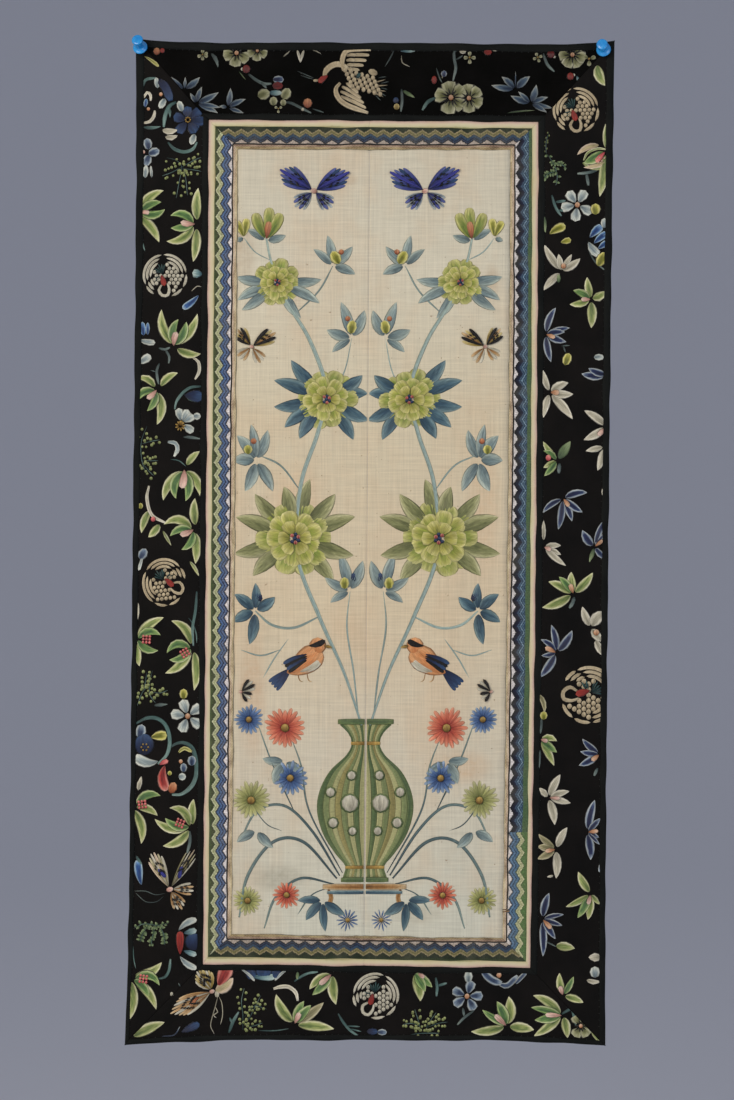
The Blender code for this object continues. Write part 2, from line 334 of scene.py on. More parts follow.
# Plain-woven ivory silk, old and hand-finished: a soft sheen, fine slubs both ways that the photo shows
# as faint stripes about 3 mm apart, honey-coloured in the middle and greener at the bottom. Its 0.3 mm
# threads are drawn 0.55 mm wide so that they show.
SILK_THREAD = 0.55
Stain = namedtuple("Stain", "x z reach_x reach_z hex_code strength")
FIELD_STAINS = (
    Stain(-94.0, -150.0, 12.0, 30.0, "#9a7a58", 0.5),
    Stain(-68.0, -600.0, 26.0, 14.0, "#8c8470", 0.75),
    Stain(-88.0, -470.0, 14.0, 60.0, "#c08a58", 0.55),
    Stain(84.0, -170.0, 8.0, 14.0, "#a58a68", 0.6),
    Stain(62.0, -520.0, 30.0, 16.0, "#c79a6a", 0.5),
    Stain(-20.0, -98.0, 10.0, 6.0, "#a88c6c", 0.6),
    Stain(30.0, -626.0, 26.0, 10.0, "#a49880", 0.6),
    Stain(78.0, -330.0, 18.0, 70.0, "#d0a478", 0.5),
    Stain(-60.0, -330.0, 26.0, 40.0, "#d8ac80", 0.45),
)


def make_ivory_silk():
    material, tree, shader = new_material(
        "woven_ivory_silk", 0.55, Sheen_Weight=0.12, Sheen_Roughness=0.4, Specular_IOR_Level=0.25
    )
    uv, along, across = cloth_map(tree)
    place = panel_place(tree)
    down = add_node(tree, SPLIT, {0: place}, 2)
    down = add_node(tree, MATH, {0: down, 1: RINGS["field"].bottom_left[1]}, operation="DIVIDE")
    base = add_node(tree, RAMP, {"Fac": down}, stops=(
        (0.10, "#c8c1ab"), (0.25, "#d0c9b2"), (0.42, "#cfc3a6"), (0.64, "#d1c1a2"), (0.80, "#cdc4ad"),
        (0.97, "#c9c7b4"),
    ))
    cloud = drawn_out_noise(tree, place, 0.014, (1.0, 1.0, 0.7), 4.0, 0.7)
    base = faded(tree, base, cloud, (0.45, 0.75), 0.55, "#cdb18e")
    warp = drawn_out_noise(tree, uv, 1.0, (0.02, 0.9, 1.0), 3.0, 0.7)
    weft = drawn_out_noise(tree, uv, 1.0, (0.75, 0.03, 1.0), 3.0, 0.7)
    lines = add_node(tree, MATH, {0: warp, 1: weft}, operation="ADD")
    base = shaded(tree, base, lines, (0.7, 1.3), (0.84, 1.1))
    for stain in FIELD_STAINS:
        base = stained(tree, base, place, *stain)
    specks = drawn_out_noise(tree, place, 0.4, (1.0, 1.0, 1.0), 1.0)
    base = faded(tree, base, specks, (0.745, 0.8), 0.55, "#7d6142")
    weave = woven_height(tree, along, across, SILK_THREAD, SILK_THREAD)
    height = add_node(tree, MATH, {0: weave, 1: 0.35, 2: lines}, operation="MULTIPLY_ADD")
    finish_surface(tree, shader, base, height, 0.35, 0.25)
    return material


# Black silk satin: warp threads lie side by side with little shine, and the dye has faded unevenly to
# a brown black. Its 0.25 mm threads are drawn 0.5 mm wide.
def make_black_silk(name, hex_codes, roughness, thread, sheen, gloss=0.08):
    material, tree, shader = new_material(
        name, roughness, Sheen_Weight=sheen, Sheen_Roughness=0.35, Specular_IOR_Level=gloss
    )
    uv, along, across = cloth_map(tree)
    cloud = drawn_out_noise(tree, panel_place(tree), 0.03, (1.0, 1.0, 1.0), 4.0)
    dye = add_node(tree, RAMP, {"Fac": cloud}, stops=tuple(zip((0.35, 0.65), hex_codes)))
    threads = drawn_out_noise(tree, uv, 1.0 / thread, (0.05, 1.0, 1.0))
    base = shaded(tree, dye, threads, (0.0, 1.0), (0.6, 1.4))
    weave = woven_height(tree, along, across, thread, thread * 1.6)
    height = add_node(tree, MATH, {0: weave, 1: 0.4, 2: threads}, operation="MULTIPLY_ADD")
    finish_surface(tree, shader, base, height, 0.4, 0.2)
    return material


# Cream silk edging cut on the bias and folded: its outer half has taken up the frame's dye and looks
# pink, darkening at its outer edge to a painted shadow line beside the binding, and its inner half has
# gone a greenish yellow beside the ribbon.
CREAM_WIDTH = 5.6
CREAM_THREAD = 0.7


def make_cream_silk():
    material, tree, shader = new_material(
        "folded_cream_silk", 0.55, Sheen_Weight=0.1, Sheen_Roughness=0.4, Specular_IOR_Level=0.25
    )
    uv, along, across = cloth_map(tree)
    wander = drawn_out_noise(tree, uv, 0.2, (1.0, 1.0, 1.0))
    wander = add_node(tree, MATH, {0: wander, 1: 1.4, 2: across}, operation="MULTIPLY_ADD")
    share = add_node(tree, MATH, {0: wander, 1: CREAM_WIDTH}, operation="DIVIDE")
    # The first and darkest stop is a painted shadow line along the binding's edge
    base = add_node(tree, RAMP, {"Fac": share}, stops=(
        (0.10, "#7c605c"), (0.24, "#bfa29a"), (0.42, "#d0bca4"), (0.62, "#d0c6a4"), (0.86, "#c6c298"),
        (1.06, "#98966a"),
    ))
    age = drawn_out_noise(tree, uv, 0.035, (1.0, 0.3, 1.0), 3.0)
    base = faded(tree, base, age, (0.35, 0.7), 0.5, "#c9b087")
    weave = woven_height(tree, along, across, CREAM_THREAD, CREAM_THREAD)
    slubs = drawn_out_noise(tree, uv, 0.8, (1.0, 1.0, 1.0))
    height = add_node(tree, MATH, {0: weave, 1: slubs}, operation="ADD")
    finish_surface(tree, shader, base, height, 0.4, 0.2)
    return material


# Woven silk ribbon: parallel zigzags of coloured weft, each repeat RIBBON_REPEAT long. Each colour
# starts at its distance from the ribbon's outer edge, less the zigzag's own rise at that place. The
# zigzag's steps are ragged, as each is a few threads high.
RIBBON_WIDTH = 12.9
RIBBON_REPEAT = 9.3
ZIGZAG_RISE = 2.9
RAGGED_STEP = 0.55
RIBBON_RIB = 0.62
GREEN_RIBBON = (
    (-2.9, "#48542f"), (0.3, "#363f24"), (0.7, "#2b3420"), (1.0, "#d2d4ae"), (1.6, "#b2b68a"),
    (2.6, "#999e6e"), (3.4, "#cfcfaa"), (3.8, "#2b2f22"), (4.4, "#262b38"), (4.7, "#425e86"),
    (5.9, "#587298"), (6.3, "#1c2444"), (6.9, "#1c2444"), (7.2, "#6f7f9a"), (8.2, "#465a80"),
    (8.7, "#191927"), (9.3, "#191927"), (9.6, "#e4dcd8"),
)
SAGE_RIBBON = (
    (-2.9, "#5c7a4a"), (0.2, "#56733f"), (0.7, "#344c2a"), (1.0, "#d4d3a4"), (1.6, "#b8b88c"),
    (2.6, "#a0a272"), (3.4, "#d0cfa6"), (3.8, "#46583c"), (4.3, "#384a4e"), (4.7, "#4c6c88"),
    (5.9, "#58788f"), (6.3, "#2a3e56"), (6.8, "#2a3e56"), (7.2, "#6a88a0"), (8.3, "#4c6a88"),
    (8.8, "#24303c"), (9.4, "#24303c"), (9.7, "#dcd4cc"),
)
BROWN_RIBBON = (
    (-2.9, "#202c16"), (1.2, "#1a2412"), (1.6, "#1a2412"), (2.0, "#a09270"), (2.7, "#7a7144"),
    (3.7, "#625f36"), (4.5, "#918463"), (5.0, "#1f2925"), (5.5, "#2c465c"), (6.8, "#263c54"),
    (7.3, "#171b2e"), (7.8, "#171b2e"), (8.2, "#3c4c64"), (8.7, "#16161e"), (9.4, "#16161e"),
    (9.8, "#b0a294"),
)
BLUE_RIBBON = (
    (-2.9, "#3c5664"), (0.4, "#33495a"), (1.0, "#203448"), (1.8, "#526f84"), (2.4, "#203649"),
    (2.9, "#203649"), (3.3, "#8aa4b4"), (3.9, "#3c566c"), (4.5, "#1d2e44"), (5.2, "#4e667a"),
    (5.7, "#181d36"), (7.2, "#13162a"), (8.3, "#0f101a"), (9.2, "#0f101a"), (9.5, "#d8d2ce"),
)


def make_ribbon(name, bands, edge_hex, edge_width):
    material, tree, shader = new_material(
        name, 0.6, Sheen_Weight=0.08, Sheen_Roughness=0.4, Specular_IOR_Level=0.25
    )
    uv, along, across = cloth_map(tree)
    ragged = drawn_out_noise(tree, uv, 1.5, (1.0, 1.0, 1.0))
    ragged = add_node(tree, RANGE, {
        "Value": ragged, "From Min": 0.3, "From Max": 0.7, "To Min": -RAGGED_STEP, "To Max": RAGGED_STEP,
    })
    wavering = add_node(tree, MATH, {0: across, 1: ragged}, operation="ADD")
    zigzag = add_node(tree, MATH, {0: along, 1: RIBBON_REPEAT / 2.0}, operation="PINGPONG")
    slope = -ZIGZAG_RISE / (RIBBON_REPEAT / 2.0)
    rise = add_node(tree, MATH, {0: zigzag, 1: slope, 2: wavering}, operation="MULTIPLY_ADD")
    span = RIBBON_WIDTH + ZIGZAG_RISE
    share = add_node(tree, MATH, {0: rise, 1: 1.0 / span, 2: ZIGZAG_RISE / span}, operation="MULTIPLY_ADD")
    stops = tuple(((place + ZIGZAG_RISE) / span, hex_code) for place, hex_code in bands)
    base = add_node(tree, RAMP, {"Fac": share}, stops=stops)
    edge = add_node(tree, MATH, {0: wavering, 1: edge_width}, operation="LESS_THAN")
    edge = add_node(tree, MATH, {0: edge, 1: 0.85}, operation="MULTIPLY")
    base = add_node(tree, MIX, {0: edge, 6: base, 7: colour(edge_hex)}, 2, data_type="RGBA")
    fading = drawn_out_noise(tree, uv, 0.06, (1.0, 0.2, 1.0), 3.0)
    base = faded(tree, base, fading, (0.4, 0.7), 0.25, "#77745f")
    ribs = waves(tree, along, RIBBON_RIB)
    mottle = drawn_out_noise(tree, uv, 1.1, (1.0, 0.5, 1.0), 3.0, 0.7)
    tone = add_node(tree, MATH, {0: ribs, 1: 0.05, 2: mottle}, operation="MULTIPLY_ADD")
    base = shaded(tree, base, tone, (0.32, 0.68), (0.55, 1.3))
    height = add_node(tree, MATH, {0: ribs, 1: mottle}, operation="ADD")
    finish_surface(tree, shader, base, height, 0.4, 0.25)
    return material


# Tarnished metal-thread braid: gilt strip wound on silk and plaited, gone pinkish brown on its outer
# half and olive on its inner half, and less so on the upright sides
BRAID_WIDTH = 3.5
PLAIT_LENGTH = 1.1
BRAID_STOPS = (0.25, 0.42, 0.58, 0.78)


def make_braid(name, pinks, olives):
    material, tree, shader = new_material(
        name, 0.55, Metallic=0.2, Sheen_Weight=0.03, Specular_IOR_Level=0.3
    )
    uv, along, across = cloth_map(tree)
    fold = add_node(tree, MATH, {0: across, 1: BRAID_WIDTH / 4.0}, operation="PINGPONG")
    slant = add_node(tree, MATH, {0: along, 1: fold}, operation="ADD")
    plait = waves(tree, slant, PLAIT_LENGTH)
    age = drawn_out_noise(tree, uv, 0.3, (0.35, 1.0, 1.0), 4.0)
    tone = add_node(tree, MATH, {0: plait, 1: 0.14, 2: age}, operation="MULTIPLY_ADD")
    pink = add_node(tree, RAMP, {"Fac": tone}, stops=zip(BRAID_STOPS, pinks))
    olive = add_node(tree, RAMP, {"Fac": tone}, stops=zip(BRAID_STOPS, olives))
    half = add_node(tree, RANGE, {
        "Value": across, "From Min": 0.4 * BRAID_WIDTH, "From Max": 0.6 * BRAID_WIDTH,
    })
    half = add_node(tree, MATH, {0: half, 1: age}, operation="MULTIPLY")
    base = add_node(tree, MIX, {0: half, 6: pink, 7: olive}, 2, data_type="RGBA")
    finish_surface(tree, shader, base, plait, 0.6, 0.25)
    return material


# Embroidery in untwisted silk floss, which is smooth and shines along its threads. Each stitch row's
# dye is in the piece's points, and the threads lie along the map's second value. Real strands are
# 0.3 mm wide and are drawn FLOSS_STRAND wide.
FLOSS_STRAND = 0.7


def make_floss():
    material, tree, shader = new_material(
        "untwisted_silk_floss", 0.46, Sheen_Weight=0.15, Sheen_Roughness=0.3, Specular_IOR_Level=0.3,
        Anisotropic=0.4,
    )
    uv, across, along = cloth_map(tree)
    dye = add_node(tree, "ShaderNodeAttribute", {}, attribute_name="dye")
    strand = waves(tree, across, FLOSS_STRAND)
    streak = drawn_out_noise(tree, uv, 1.7, (1.0, 0.14, 1.0), 3.0, 0.7)
    tone = add_node(tree, MATH, {0: strand, 1: 0.07, 2: streak}, operation="MULTIPLY_ADD")
    base = shaded(tree, dye, tone, (0.3, 0.7), (0.66, 1.2))
    height = add_node(tree, MATH, {0: strand, 1: streak}, operation="ADD")
    finish_surface(tree, shader, base, height, 0.45, 0.18)
    return material


# Injection-moulded polystyrene: a glossy, even blue with faint flow marks
def make_blue_plastic():
    material, tree, shader = new_material(
        "moulded_blue_polystyrene", 0.22, IOR=1.59, Coat_Weight=0.3, Coat_Roughness=0.1
    )
    flow = drawn_out_noise(tree, panel_place(tree), 0.25, (1.0, 1.0, 1.0))
    base = add_node(tree, RAMP, {"Fac": flow}, stops=((0.3, "#0c7dc8"), (0.7, "#2598dc")))
    tree.links.new(base, shader.inputs["Base Color"])
    rough = add_node(tree, RANGE, {"Value": flow, "To Min": 0.18, "To Max": 0.34})
    tree.links.new(rough, shader.inputs["Roughness"])
    return material


# Drawn steel wire: bright, with fine lines along it
def make_needle_steel():
    material, tree, shader = new_material("drawn_steel_wire", 0.28, Metallic=1.0)
    lines = drawn_out_noise(tree, panel_place(tree), 4.0, (1.0, 0.1, 1.0))
    base = add_node(tree, RAMP, {"Fac": lines}, stops=((0.3, "#a9abb0"), (0.7, "#d2d3d6")))
    tree.links.new(base, shader.inputs["Base Color"])
    return material


IVORY_SILK = make_ivory_silk()
BORDER_SILK = make_black_silk("black_silk_satin", ("#080706", "#110e0c"), 0.62, 0.5, 0.01)
# The top strip's satin is painted blacker than the others, as painted shade for the dimmer light at the top,
# and is duller
TOP_SILK = make_black_silk("black_silk_satin_painted_shade", ("#030302", "#090807"), 0.7, 0.5, 0.0, 0.04)
BINDING_SILK = make_black_silk("black_binding_silk", ("#0c0e0d", "#141614"), 0.62, 0.6, 0.02)
CREAM_SILK = make_cream_silk()
GREEN_WEAVE = make_ribbon("green_zigzag_ribbon", GREEN_RIBBON, "#41552f", 0.3)
SAGE_WEAVE = make_ribbon("sage_zigzag_ribbon", SAGE_RIBBON, "#52703c", 0.3)
BROWN_WEAVE = make_ribbon("brown_zigzag_ribbon", BROWN_RIBBON, "#2a3a1e", 0.4)
BLUE_WEAVE = make_ribbon("blue_zigzag_ribbon", BLUE_RIBBON, "#4c6638", 2.6)
BRAIDS = {
    "level": make_braid(
        "tarnished_braid", ("#4f3c2c", "#8d7360", "#b39a82", "#cdb89c"),
        ("#4c4420", "#897c44", "#b0a066", "#cabc88"),
    ),
    "upright": make_braid(
        "dulled_braid", ("#7a664e", "#b9a187", "#dac4a6", "#e8d8bd"),
        ("#766a40", "#b1a36b", "#d2c493", "#e4d8b0"),
    ),
}
FLOSS_SILK = make_floss()
BLUE_PLASTIC = make_blue_plastic()
NEEDLE_STEEL = make_needle_steel()


# Cloth pieces


def add_mesh(name, points, faces, uv, material, dye=None, closed=False):
    """An object from points in metres, with the cloth map and, for embroidery, a colour a point."""
    mesh = bpy.data.meshes.new(name)
    mesh.from_pydata(points.reshape(-1, 3).tolist(), [], faces)
    if closed:
        work = bmesh.new()
        work.from_mesh(mesh)
        bmesh.ops.recalc_face_normals(work, faces=work.faces[:])
        work.to_mesh(mesh)
        work.free()
    corner_points = np.empty(len(mesh.loops), int)
    mesh.loops.foreach_get("vertex_index", corner_points)
    layer = mesh.uv_layers.new(name="cloth_mm")
    layer.data.foreach_set("uv", uv.reshape(-1, 2)[corner_points].astype(np.float32).ravel())
    if dye is not None:
        attribute = mesh.color_attributes.new(name="dye", type="FLOAT_COLOR", domain="POINT")
        attribute.data.foreach_set("color", dye.astype(np.float32).ravel())
    mesh.materials.append(material)
    mesh.shade_smooth()
    thing = bpy.data.objects.new(name, mesh)
    bpy.context.scene.collection.objects.link(thing)
    return thing


def grid_faces(rows, columns, first=0):
    index = first + np.arange(rows * columns).reshape(rows, columns)
    a, b = index[:-1, :-1].ravel(), index[:-1, 1:].ravel()
    c, d = index[1:, 1:].ravel(), index[1:, :-1].ravel()
    return np.stack([a, d, c, b], axis=1).tolist()


def closed_sheet(name, x, z, front, back, along, across, material):
    """A closed sheet from a grid of places with its front heights and one back height."""
    rows, columns = x.shape
    points = np.concatenate([placed(x, z, front).reshape(-1, 3), placed(x, z, back).reshape(-1, 3)])
    count = rows * columns
    faces = grid_faces(rows, columns) + grid_faces(rows, columns, count)
    index = np.arange(count).reshape(rows, columns)
    rim = np.concatenate(
        [index[0, :], index[1:, -1], index[-1, -2::-1], index[-2:0:-1, 0]]
    ).tolist()
    for a, b in zip(rim, rim[1:] + rim[:1]):
        faces.append((a, b, b + count, a + count))
    uv = np.stack([along, across], axis=-1).reshape(-1, 2)
    return add_mesh(name, points, faces, np.concatenate([uv, uv]), material, closed=True)


# Cross sections of the bands: share of the width and height of the front above the cloth's back. A
# share under 0 or over 1 runs under a neighbour.
Band = namedtuple("Band", "outer inner back section")
BANDS = {
    "outer_binding": Band("edge", "frame_outer", 0.35, (
        (0.0, 0.75), (0.03, 1.35), (0.12, 1.75), (0.35, 1.92), (0.65, 1.9), (0.88, 1.75),
        (0.97, 1.5), (1.04, 1.0),
    )),
    "border": Band("frame_outer", "frame_inner", 0.45, (
        (-0.03, 1.0), (0.0, 1.15), (0.03, 1.22), (0.12, 1.2), (0.25, 1.2), (0.4, 1.2), (0.55, 1.2),
        (0.7, 1.2), (0.85, 1.2), (0.95, 1.22), (1.0, 1.12), (1.03, 0.95),
    )),
    "inner_binding": Band("frame_inner", "cream_outer", 0.45, (
        (-0.12, 1.05), (-0.02, 1.45), (0.1, 1.68), (0.5, 1.76), (0.88, 1.7), (0.98, 1.5), (1.06, 1.0),
    )),
    "cream": Band("cream_outer", "ribbon_outer", 0.45, (
        (-0.1, 0.8), (0.0, 1.0), (0.15, 1.15), (0.5, 1.2), (0.85, 1.12), (0.97, 0.98), (1.1, 0.8),
    )),
    "ribbon": Band("ribbon_outer", "braid_outer", 0.45, (
        (0.0, 0.9), (0.01, 1.3), (0.05, 1.42), (0.3, 1.38), (0.6, 1.36), (0.93, 1.4), (1.0, 1.25),
        (1.03, 0.9),
    )),
    "braid": Band("braid_outer", "field", 0.45, (
        (-0.04, 1.0), (0.06, 1.45), (0.18, 1.72), (0.32, 1.56), (0.5, 1.82), (0.68, 1.56),
        (0.82, 1.7), (0.94, 1.45), (1.02, 0.95),
    )),
}
# A strip's rows lie ROW apart. Its ends run END_LIP on and drop by END_DROP, but stay THINNEST thick.
ROW = 3.2
END_LIP = 0.5
END_DROP = 0.55
THINNEST = 0.12


def band_rows(length):
    """Distances along a strip from end to end, and how much its front is lowered there."""
    inner = np.linspace(1.2, length - 1.2, max(3, int(length / ROW)))
    end = [length - 0.4, length - 0.05, length + END_LIP]
    places = np.concatenate([[-END_LIP, 0.05, 0.4], inner, end])
    drops = [[END_DROP, 0.3, 0.06], np.zeros(len(inner)), [0.06, 0.3, END_DROP + 0.1]]
    return places, np.concatenate(drops)


def band_strip(name, band, side, material, starts=(0.0, 0.0), ends=(1.0, 1.0)):
    """One strip of a band between two shares of its side, on its outer and inner outline."""
    form = BANDS[band]
    corner, far = side_ends(form.outer, side)
    length = math.dist(corner, far) * (ends[0] - starts[0])
    places, drops = band_rows(length)
    portion = places / length
    ax, az = side_points(form.outer, side, starts[0] + (ends[0] - starts[0]) * portion)
    bx, bz = side_points(form.inner, side, starts[1] + (ends[1] - starts[1]) * portion)
    shares = np.array([share for share, _ in form.section])
    heights = np.array([height for _, height in form.section])
    x = ax[:, None] + (bx - ax)[:, None] * shares
    z = az[:, None] + (bz - az)[:, None] * shares
    front = np.maximum(heights[None, :] - drops[:, None], form.back + THINNEST)
    level = side in ("top", "bottom")
    along = (x - corner[0]) if level else (corner[1] - z)
    off = np.abs(bz - az) if level else np.abs(bx - ax)
    across = off[:, None] * shares
    if band == "ribbon":
        # The woven pattern follows the braid, and the cream edging covers what is left over
        across = RIBBON_WIDTH - off[:, None] * (1.0 - shares)
    return closed_sheet(name, x, z, front, form.back, along, across, material)


def cut_shares(band, side):
    """Where a strip is cut: at the middle seam, or at the join of the right side."""
    form = BANDS[band]
    if side in ("top", "bottom"):
        return [seam_share(ring, side) for ring in (form.outer, form.inner)]
    return [height_share(ring, side, JOIN_Z[band]) for ring in (form.outer, form.inner)]


def keep(piece, node):
    """The piece rides on the one body, and stands for its solid."""
    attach(piece, "root")
    if node:
        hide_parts(node)
    return piece


# The right ribbon is pieced from two lengths
PIECED_RIBBON = {"ribbon_right_upper": BLUE_WEAVE, "ribbon_right_lower": SAGE_WEAVE}


def make_bands():
    """Every strip of every band, by its node's name."""
    made = {}
    whole = ((0.0, 0.0), (1.0, 1.0))
    for band in BANDS:
        for side in SIDES:
            level = side in ("top", "bottom")
            material = {
                "outer_binding": BINDING_SILK, "inner_binding": BINDING_SILK, "cream": CREAM_SILK,
                "border": TOP_SILK if side == "top" else BORDER_SILK,
                "ribbon": BROWN_WEAVE if level else GREEN_WEAVE,
                "braid": BRAIDS["level" if level else "upright"],
            }[band]
            parts = {f"{band}_{side}": whole}
            if band in JOIN_Z and side != "left":
                cut = cut_shares(band, side)
                first, second = ("left", "right") if level else ("upper", "lower")
                parts = {
                    f"{band}_{side}_{first}": (whole[0], cut),
                    f"{band}_{side}_{second}": (cut, whole[1]),
                }
            for node, (starts, ends) in parts.items():
                finish = PIECED_RIBBON.get(node, material)
                strip = band_strip(f"silk_{node}", band, side, finish, starts, ends)
                made[node] = keep(strip, node)
    return made


FIELD_STEP = 2.6
FIELD_BACK = 0.4
FIELD_FRONT = 1.05
# An ivory band's width, where its weave starts, how far it runs under the braid, half the gap at the
# middle seam, the heights of its puckers along the seam and all over, and the dip into the seam
FIELD_WIDTH = 105.0
WEAVE_START_X = -130.0
UNDER_BRAID = 0.8
HALF_GAP = 0.06
SEAM_PUCKER = 0.1
CLOTH_PUCKER = 0.07
SEAM_DIP = 0.5


def make_field(half):
    """One ivory band. It runs under the braid, dips into the middle seam, and puckers a little."""
    rows = int((SEAM_TOP_Z - SEAM_BOTTOM_Z) / FIELD_STEP)
    columns = int(FIELD_WIDTH / FIELD_STEP)
    down = np.linspace(-0.003, 1.003, rows)[:, None]
    share = np.linspace(0.0, 1.0, columns)[None, :]
    edge_x, edge_z = side_points("field", half, down)
    way = -1.0 if half == "left" else 1.0
    under = way * UNDER_BRAID
    middle_z_top, middle_z_bottom = (
        float(side_points("field", side, seam_share("field", side))[1]) for side in ("top", "bottom")
    )
    middle_z = middle_z_top + (middle_z_bottom - middle_z_top) * down
    middle_x = seam_x(middle_z) + way * HALF_GAP
    spread = np.sin(share * math.pi / 2.0) ** 0.9
    x = edge_x + under + (middle_x - edge_x - under) * spread
    z = edge_z + (middle_z - edge_z) * spread
    to_seam = np.abs(x - seam_x(z))
    pucker = SEAM_PUCKER * np.sin(z / 5.5 + np.sin(x / 9.0) * 1.7) * np.exp(-to_seam / 7.0)
    swell = np.sin(x / 6.1 + 1.3 * np.sin(z / 17.0)) * np.sin(z / 13.0 + x / 31.0)
    front = FIELD_FRONT + (pucker + CLOTH_PUCKER * swell) - SEAM_DIP * np.exp(-((to_seam / 0.7) ** 2))
    piece = closed_sheet(f"ivory_band_{half}", x, z, front, FIELD_BACK, SEAM_TOP_Z - z,
                         x - WEAVE_START_X, IVORY_SILK)
    return keep(piece, f"field_{half}")


# Push pins


def pin_place(pin):
    lean_x, lean_z = pin.lean
    outwards = math.sqrt(PIN_LENGTH**2 - lean_x**2 - lean_z**2)
    way = Vector((lean_x, -outwards, lean_z)).normalized()
    stand_off = PIN_CLOTH + PIN_GAP + COLLAR_RADIUS * math.hypot(way.x, way.z)
    return Vector((pin.collar[0], -stand_off, pin.collar[1])) * MM, way


def select_top(mesh_object, height):
    """Selects the faces of the open end of a turned piece, by their height."""
    bpy.ops.mesh.select_all(action="DESELECT")
    work = bmesh.from_edit_mesh(mesh_object.data)
    for face in work.faces:
        if abs(face.calc_center_median().z - height) < 0.01 * MM and abs(face.normal.z) > 0.99:
            face.select = True
    bmesh.update_edit_mesh(mesh_object.data)


HEAD_STEPS = (
    (5.2, 0.45), (5.25, 0.95), (5.1, 1.4), (4.6, 1.75), (3.7, 2.15), (3.1, 2.7), (2.8, 3.5),
    (2.68, 4.6), (2.65, 6.2), (2.75, 7.6), (3.0, 8.7), (3.45, 9.4), (3.85, 9.85), (4.05, 10.3),
    (4.08, 10.9), (3.95, 11.4), (3.6, 11.75), (2.9, 11.93), (1.2, 12.0),
)


def make_pin_head(side):
    """The plastic head: a collar, a waist for the fingers and a rounded top, extruded ring by ring."""
    place, way = pin_place(PINS[side])
    bpy.ops.object.select_all(action="DESELECT")
    radius, height = 4.85, 0.12
    bpy.ops.mesh.primitive_cylinder_add(
        vertices=48, radius=radius * MM, depth=height * MM, location=(0.0, 0.0, height * MM / 2.0)
    )
    head = bpy.context.active_object
    head.name = f"push_pin_head_{side}"
    bpy.ops.object.transform_apply(location=True, rotation=False, scale=False)
    bpy.ops.object.mode_set(mode="EDIT")
    for next_radius, next_height in HEAD_STEPS:
        select_top(head, height * MM)
        bpy.ops.mesh.extrude_region_move(
            TRANSFORM_OT_translate={"value": (0.0, 0.0, (next_height - height) * MM)}
        )
        ratio = next_radius / radius
        bpy.ops.transform.resize(value=(ratio, ratio, 1.0), center_override=(0.0, 0.0, next_height * MM))
        radius, height = next_radius, next_height
    bpy.ops.object.mode_set(mode="OBJECT")
    head.location = place
    head.rotation_mode = "QUATERNION"
    head.rotation_quaternion = way.to_track_quat("Z", "Y")
    bpy.ops.object.transform_apply(location=True, rotation=True, scale=False)
    bpy.ops.object.shade_smooth_by_angle(angle=math.radians(50.0))
    head.data.materials.append(BLUE_PLASTIC)
    return keep(head, f"pin_head_{side}")


def finish_needle(side):
    """The needle keeps its solid's shape and gets its steel."""
    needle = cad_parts[f"pin_needle_{side}"]
    for index in range(len(needle.material_slots)):
        needle.material_slots[index].material = NEEDLE_STEEL


BAND_PIECES = make_bands()
FIELD_PIECES = {half: make_field(half) for half in ("left", "right")}
for pin_side in PINS:
    make_pin_head(pin_side)
    finish_needle(pin_side)

# Needlework. Each shape is a closed, low ridge of floss on the cloth's face, and all the shapes of one
# piece are joined in one mesh.


# In millimetres: how far every second row of stitches stands up, how far a shape's edge sinks into
# the cloth, the step from one layer to the next, and a shape's rows along and across it
FLOSS_RIDGE = 0.05
SUNK_EDGE = 0.25
LAYER = 0.2
ROW_LENGTH = 1.8
COLUMN_WIDTH = 0.72
# Shares of a shape's half width: its stitch rows end, and its shaded edge starts. Each shape's edge is
# painted dark, EDGE_SHADE as bright as the silk: painted shade in the gaps between shapes, where on the
# black ground the ground also shows, and shapes are wider for it.
INNER_SPAN = 0.74
EDGE_LINE = 0.88
EDGE_SHADE = 0.06
EDGE_ALLOWANCE = 1.1
# Where a shape's rim starts across it, and its tip along it
RIM_START = 0.62
TIP_START = 0.7
# How unevenly the dye has taken from place to place, and from one stitch row to the next
DYE_SPREAD = 0.07
ROW_SPREAD = 0.13

# How a shape's width runs along it: powers of the way from its base and of the way to its tip
POINTED = (0.62, 0.85)
SLENDER = (0.8, 1.1)
ROUNDED = (0.75, 0.36)
OVAL = (0.5, 0.5)
BLADE = (0.35, 1.0)
BLUNT = (0.18, 0.18)

# Where a shape's colour lies in its dyes, from 0 to 1: a start, and what the way along, the way across
# to the side that it bends to, and the nearness to an edge add to it
ALONG = (0.0, 1.0, 0.0, 0.0)
EVEN = (0.4, 0.2, 0.0, 0.25)
PALE_RIM = (0.3, 0.15, 0.0, 0.5)
RIMMED = (-0.02, 0.08, 0.0, 0.95)
SIDED = (0.0, 0.1, 0.35, 0.5)
OUTER_PETAL = (0.05, 0.2, 0.26, 0.56)
DARK_HUB = (-0.05, 0.7, 0.0, 0.42)

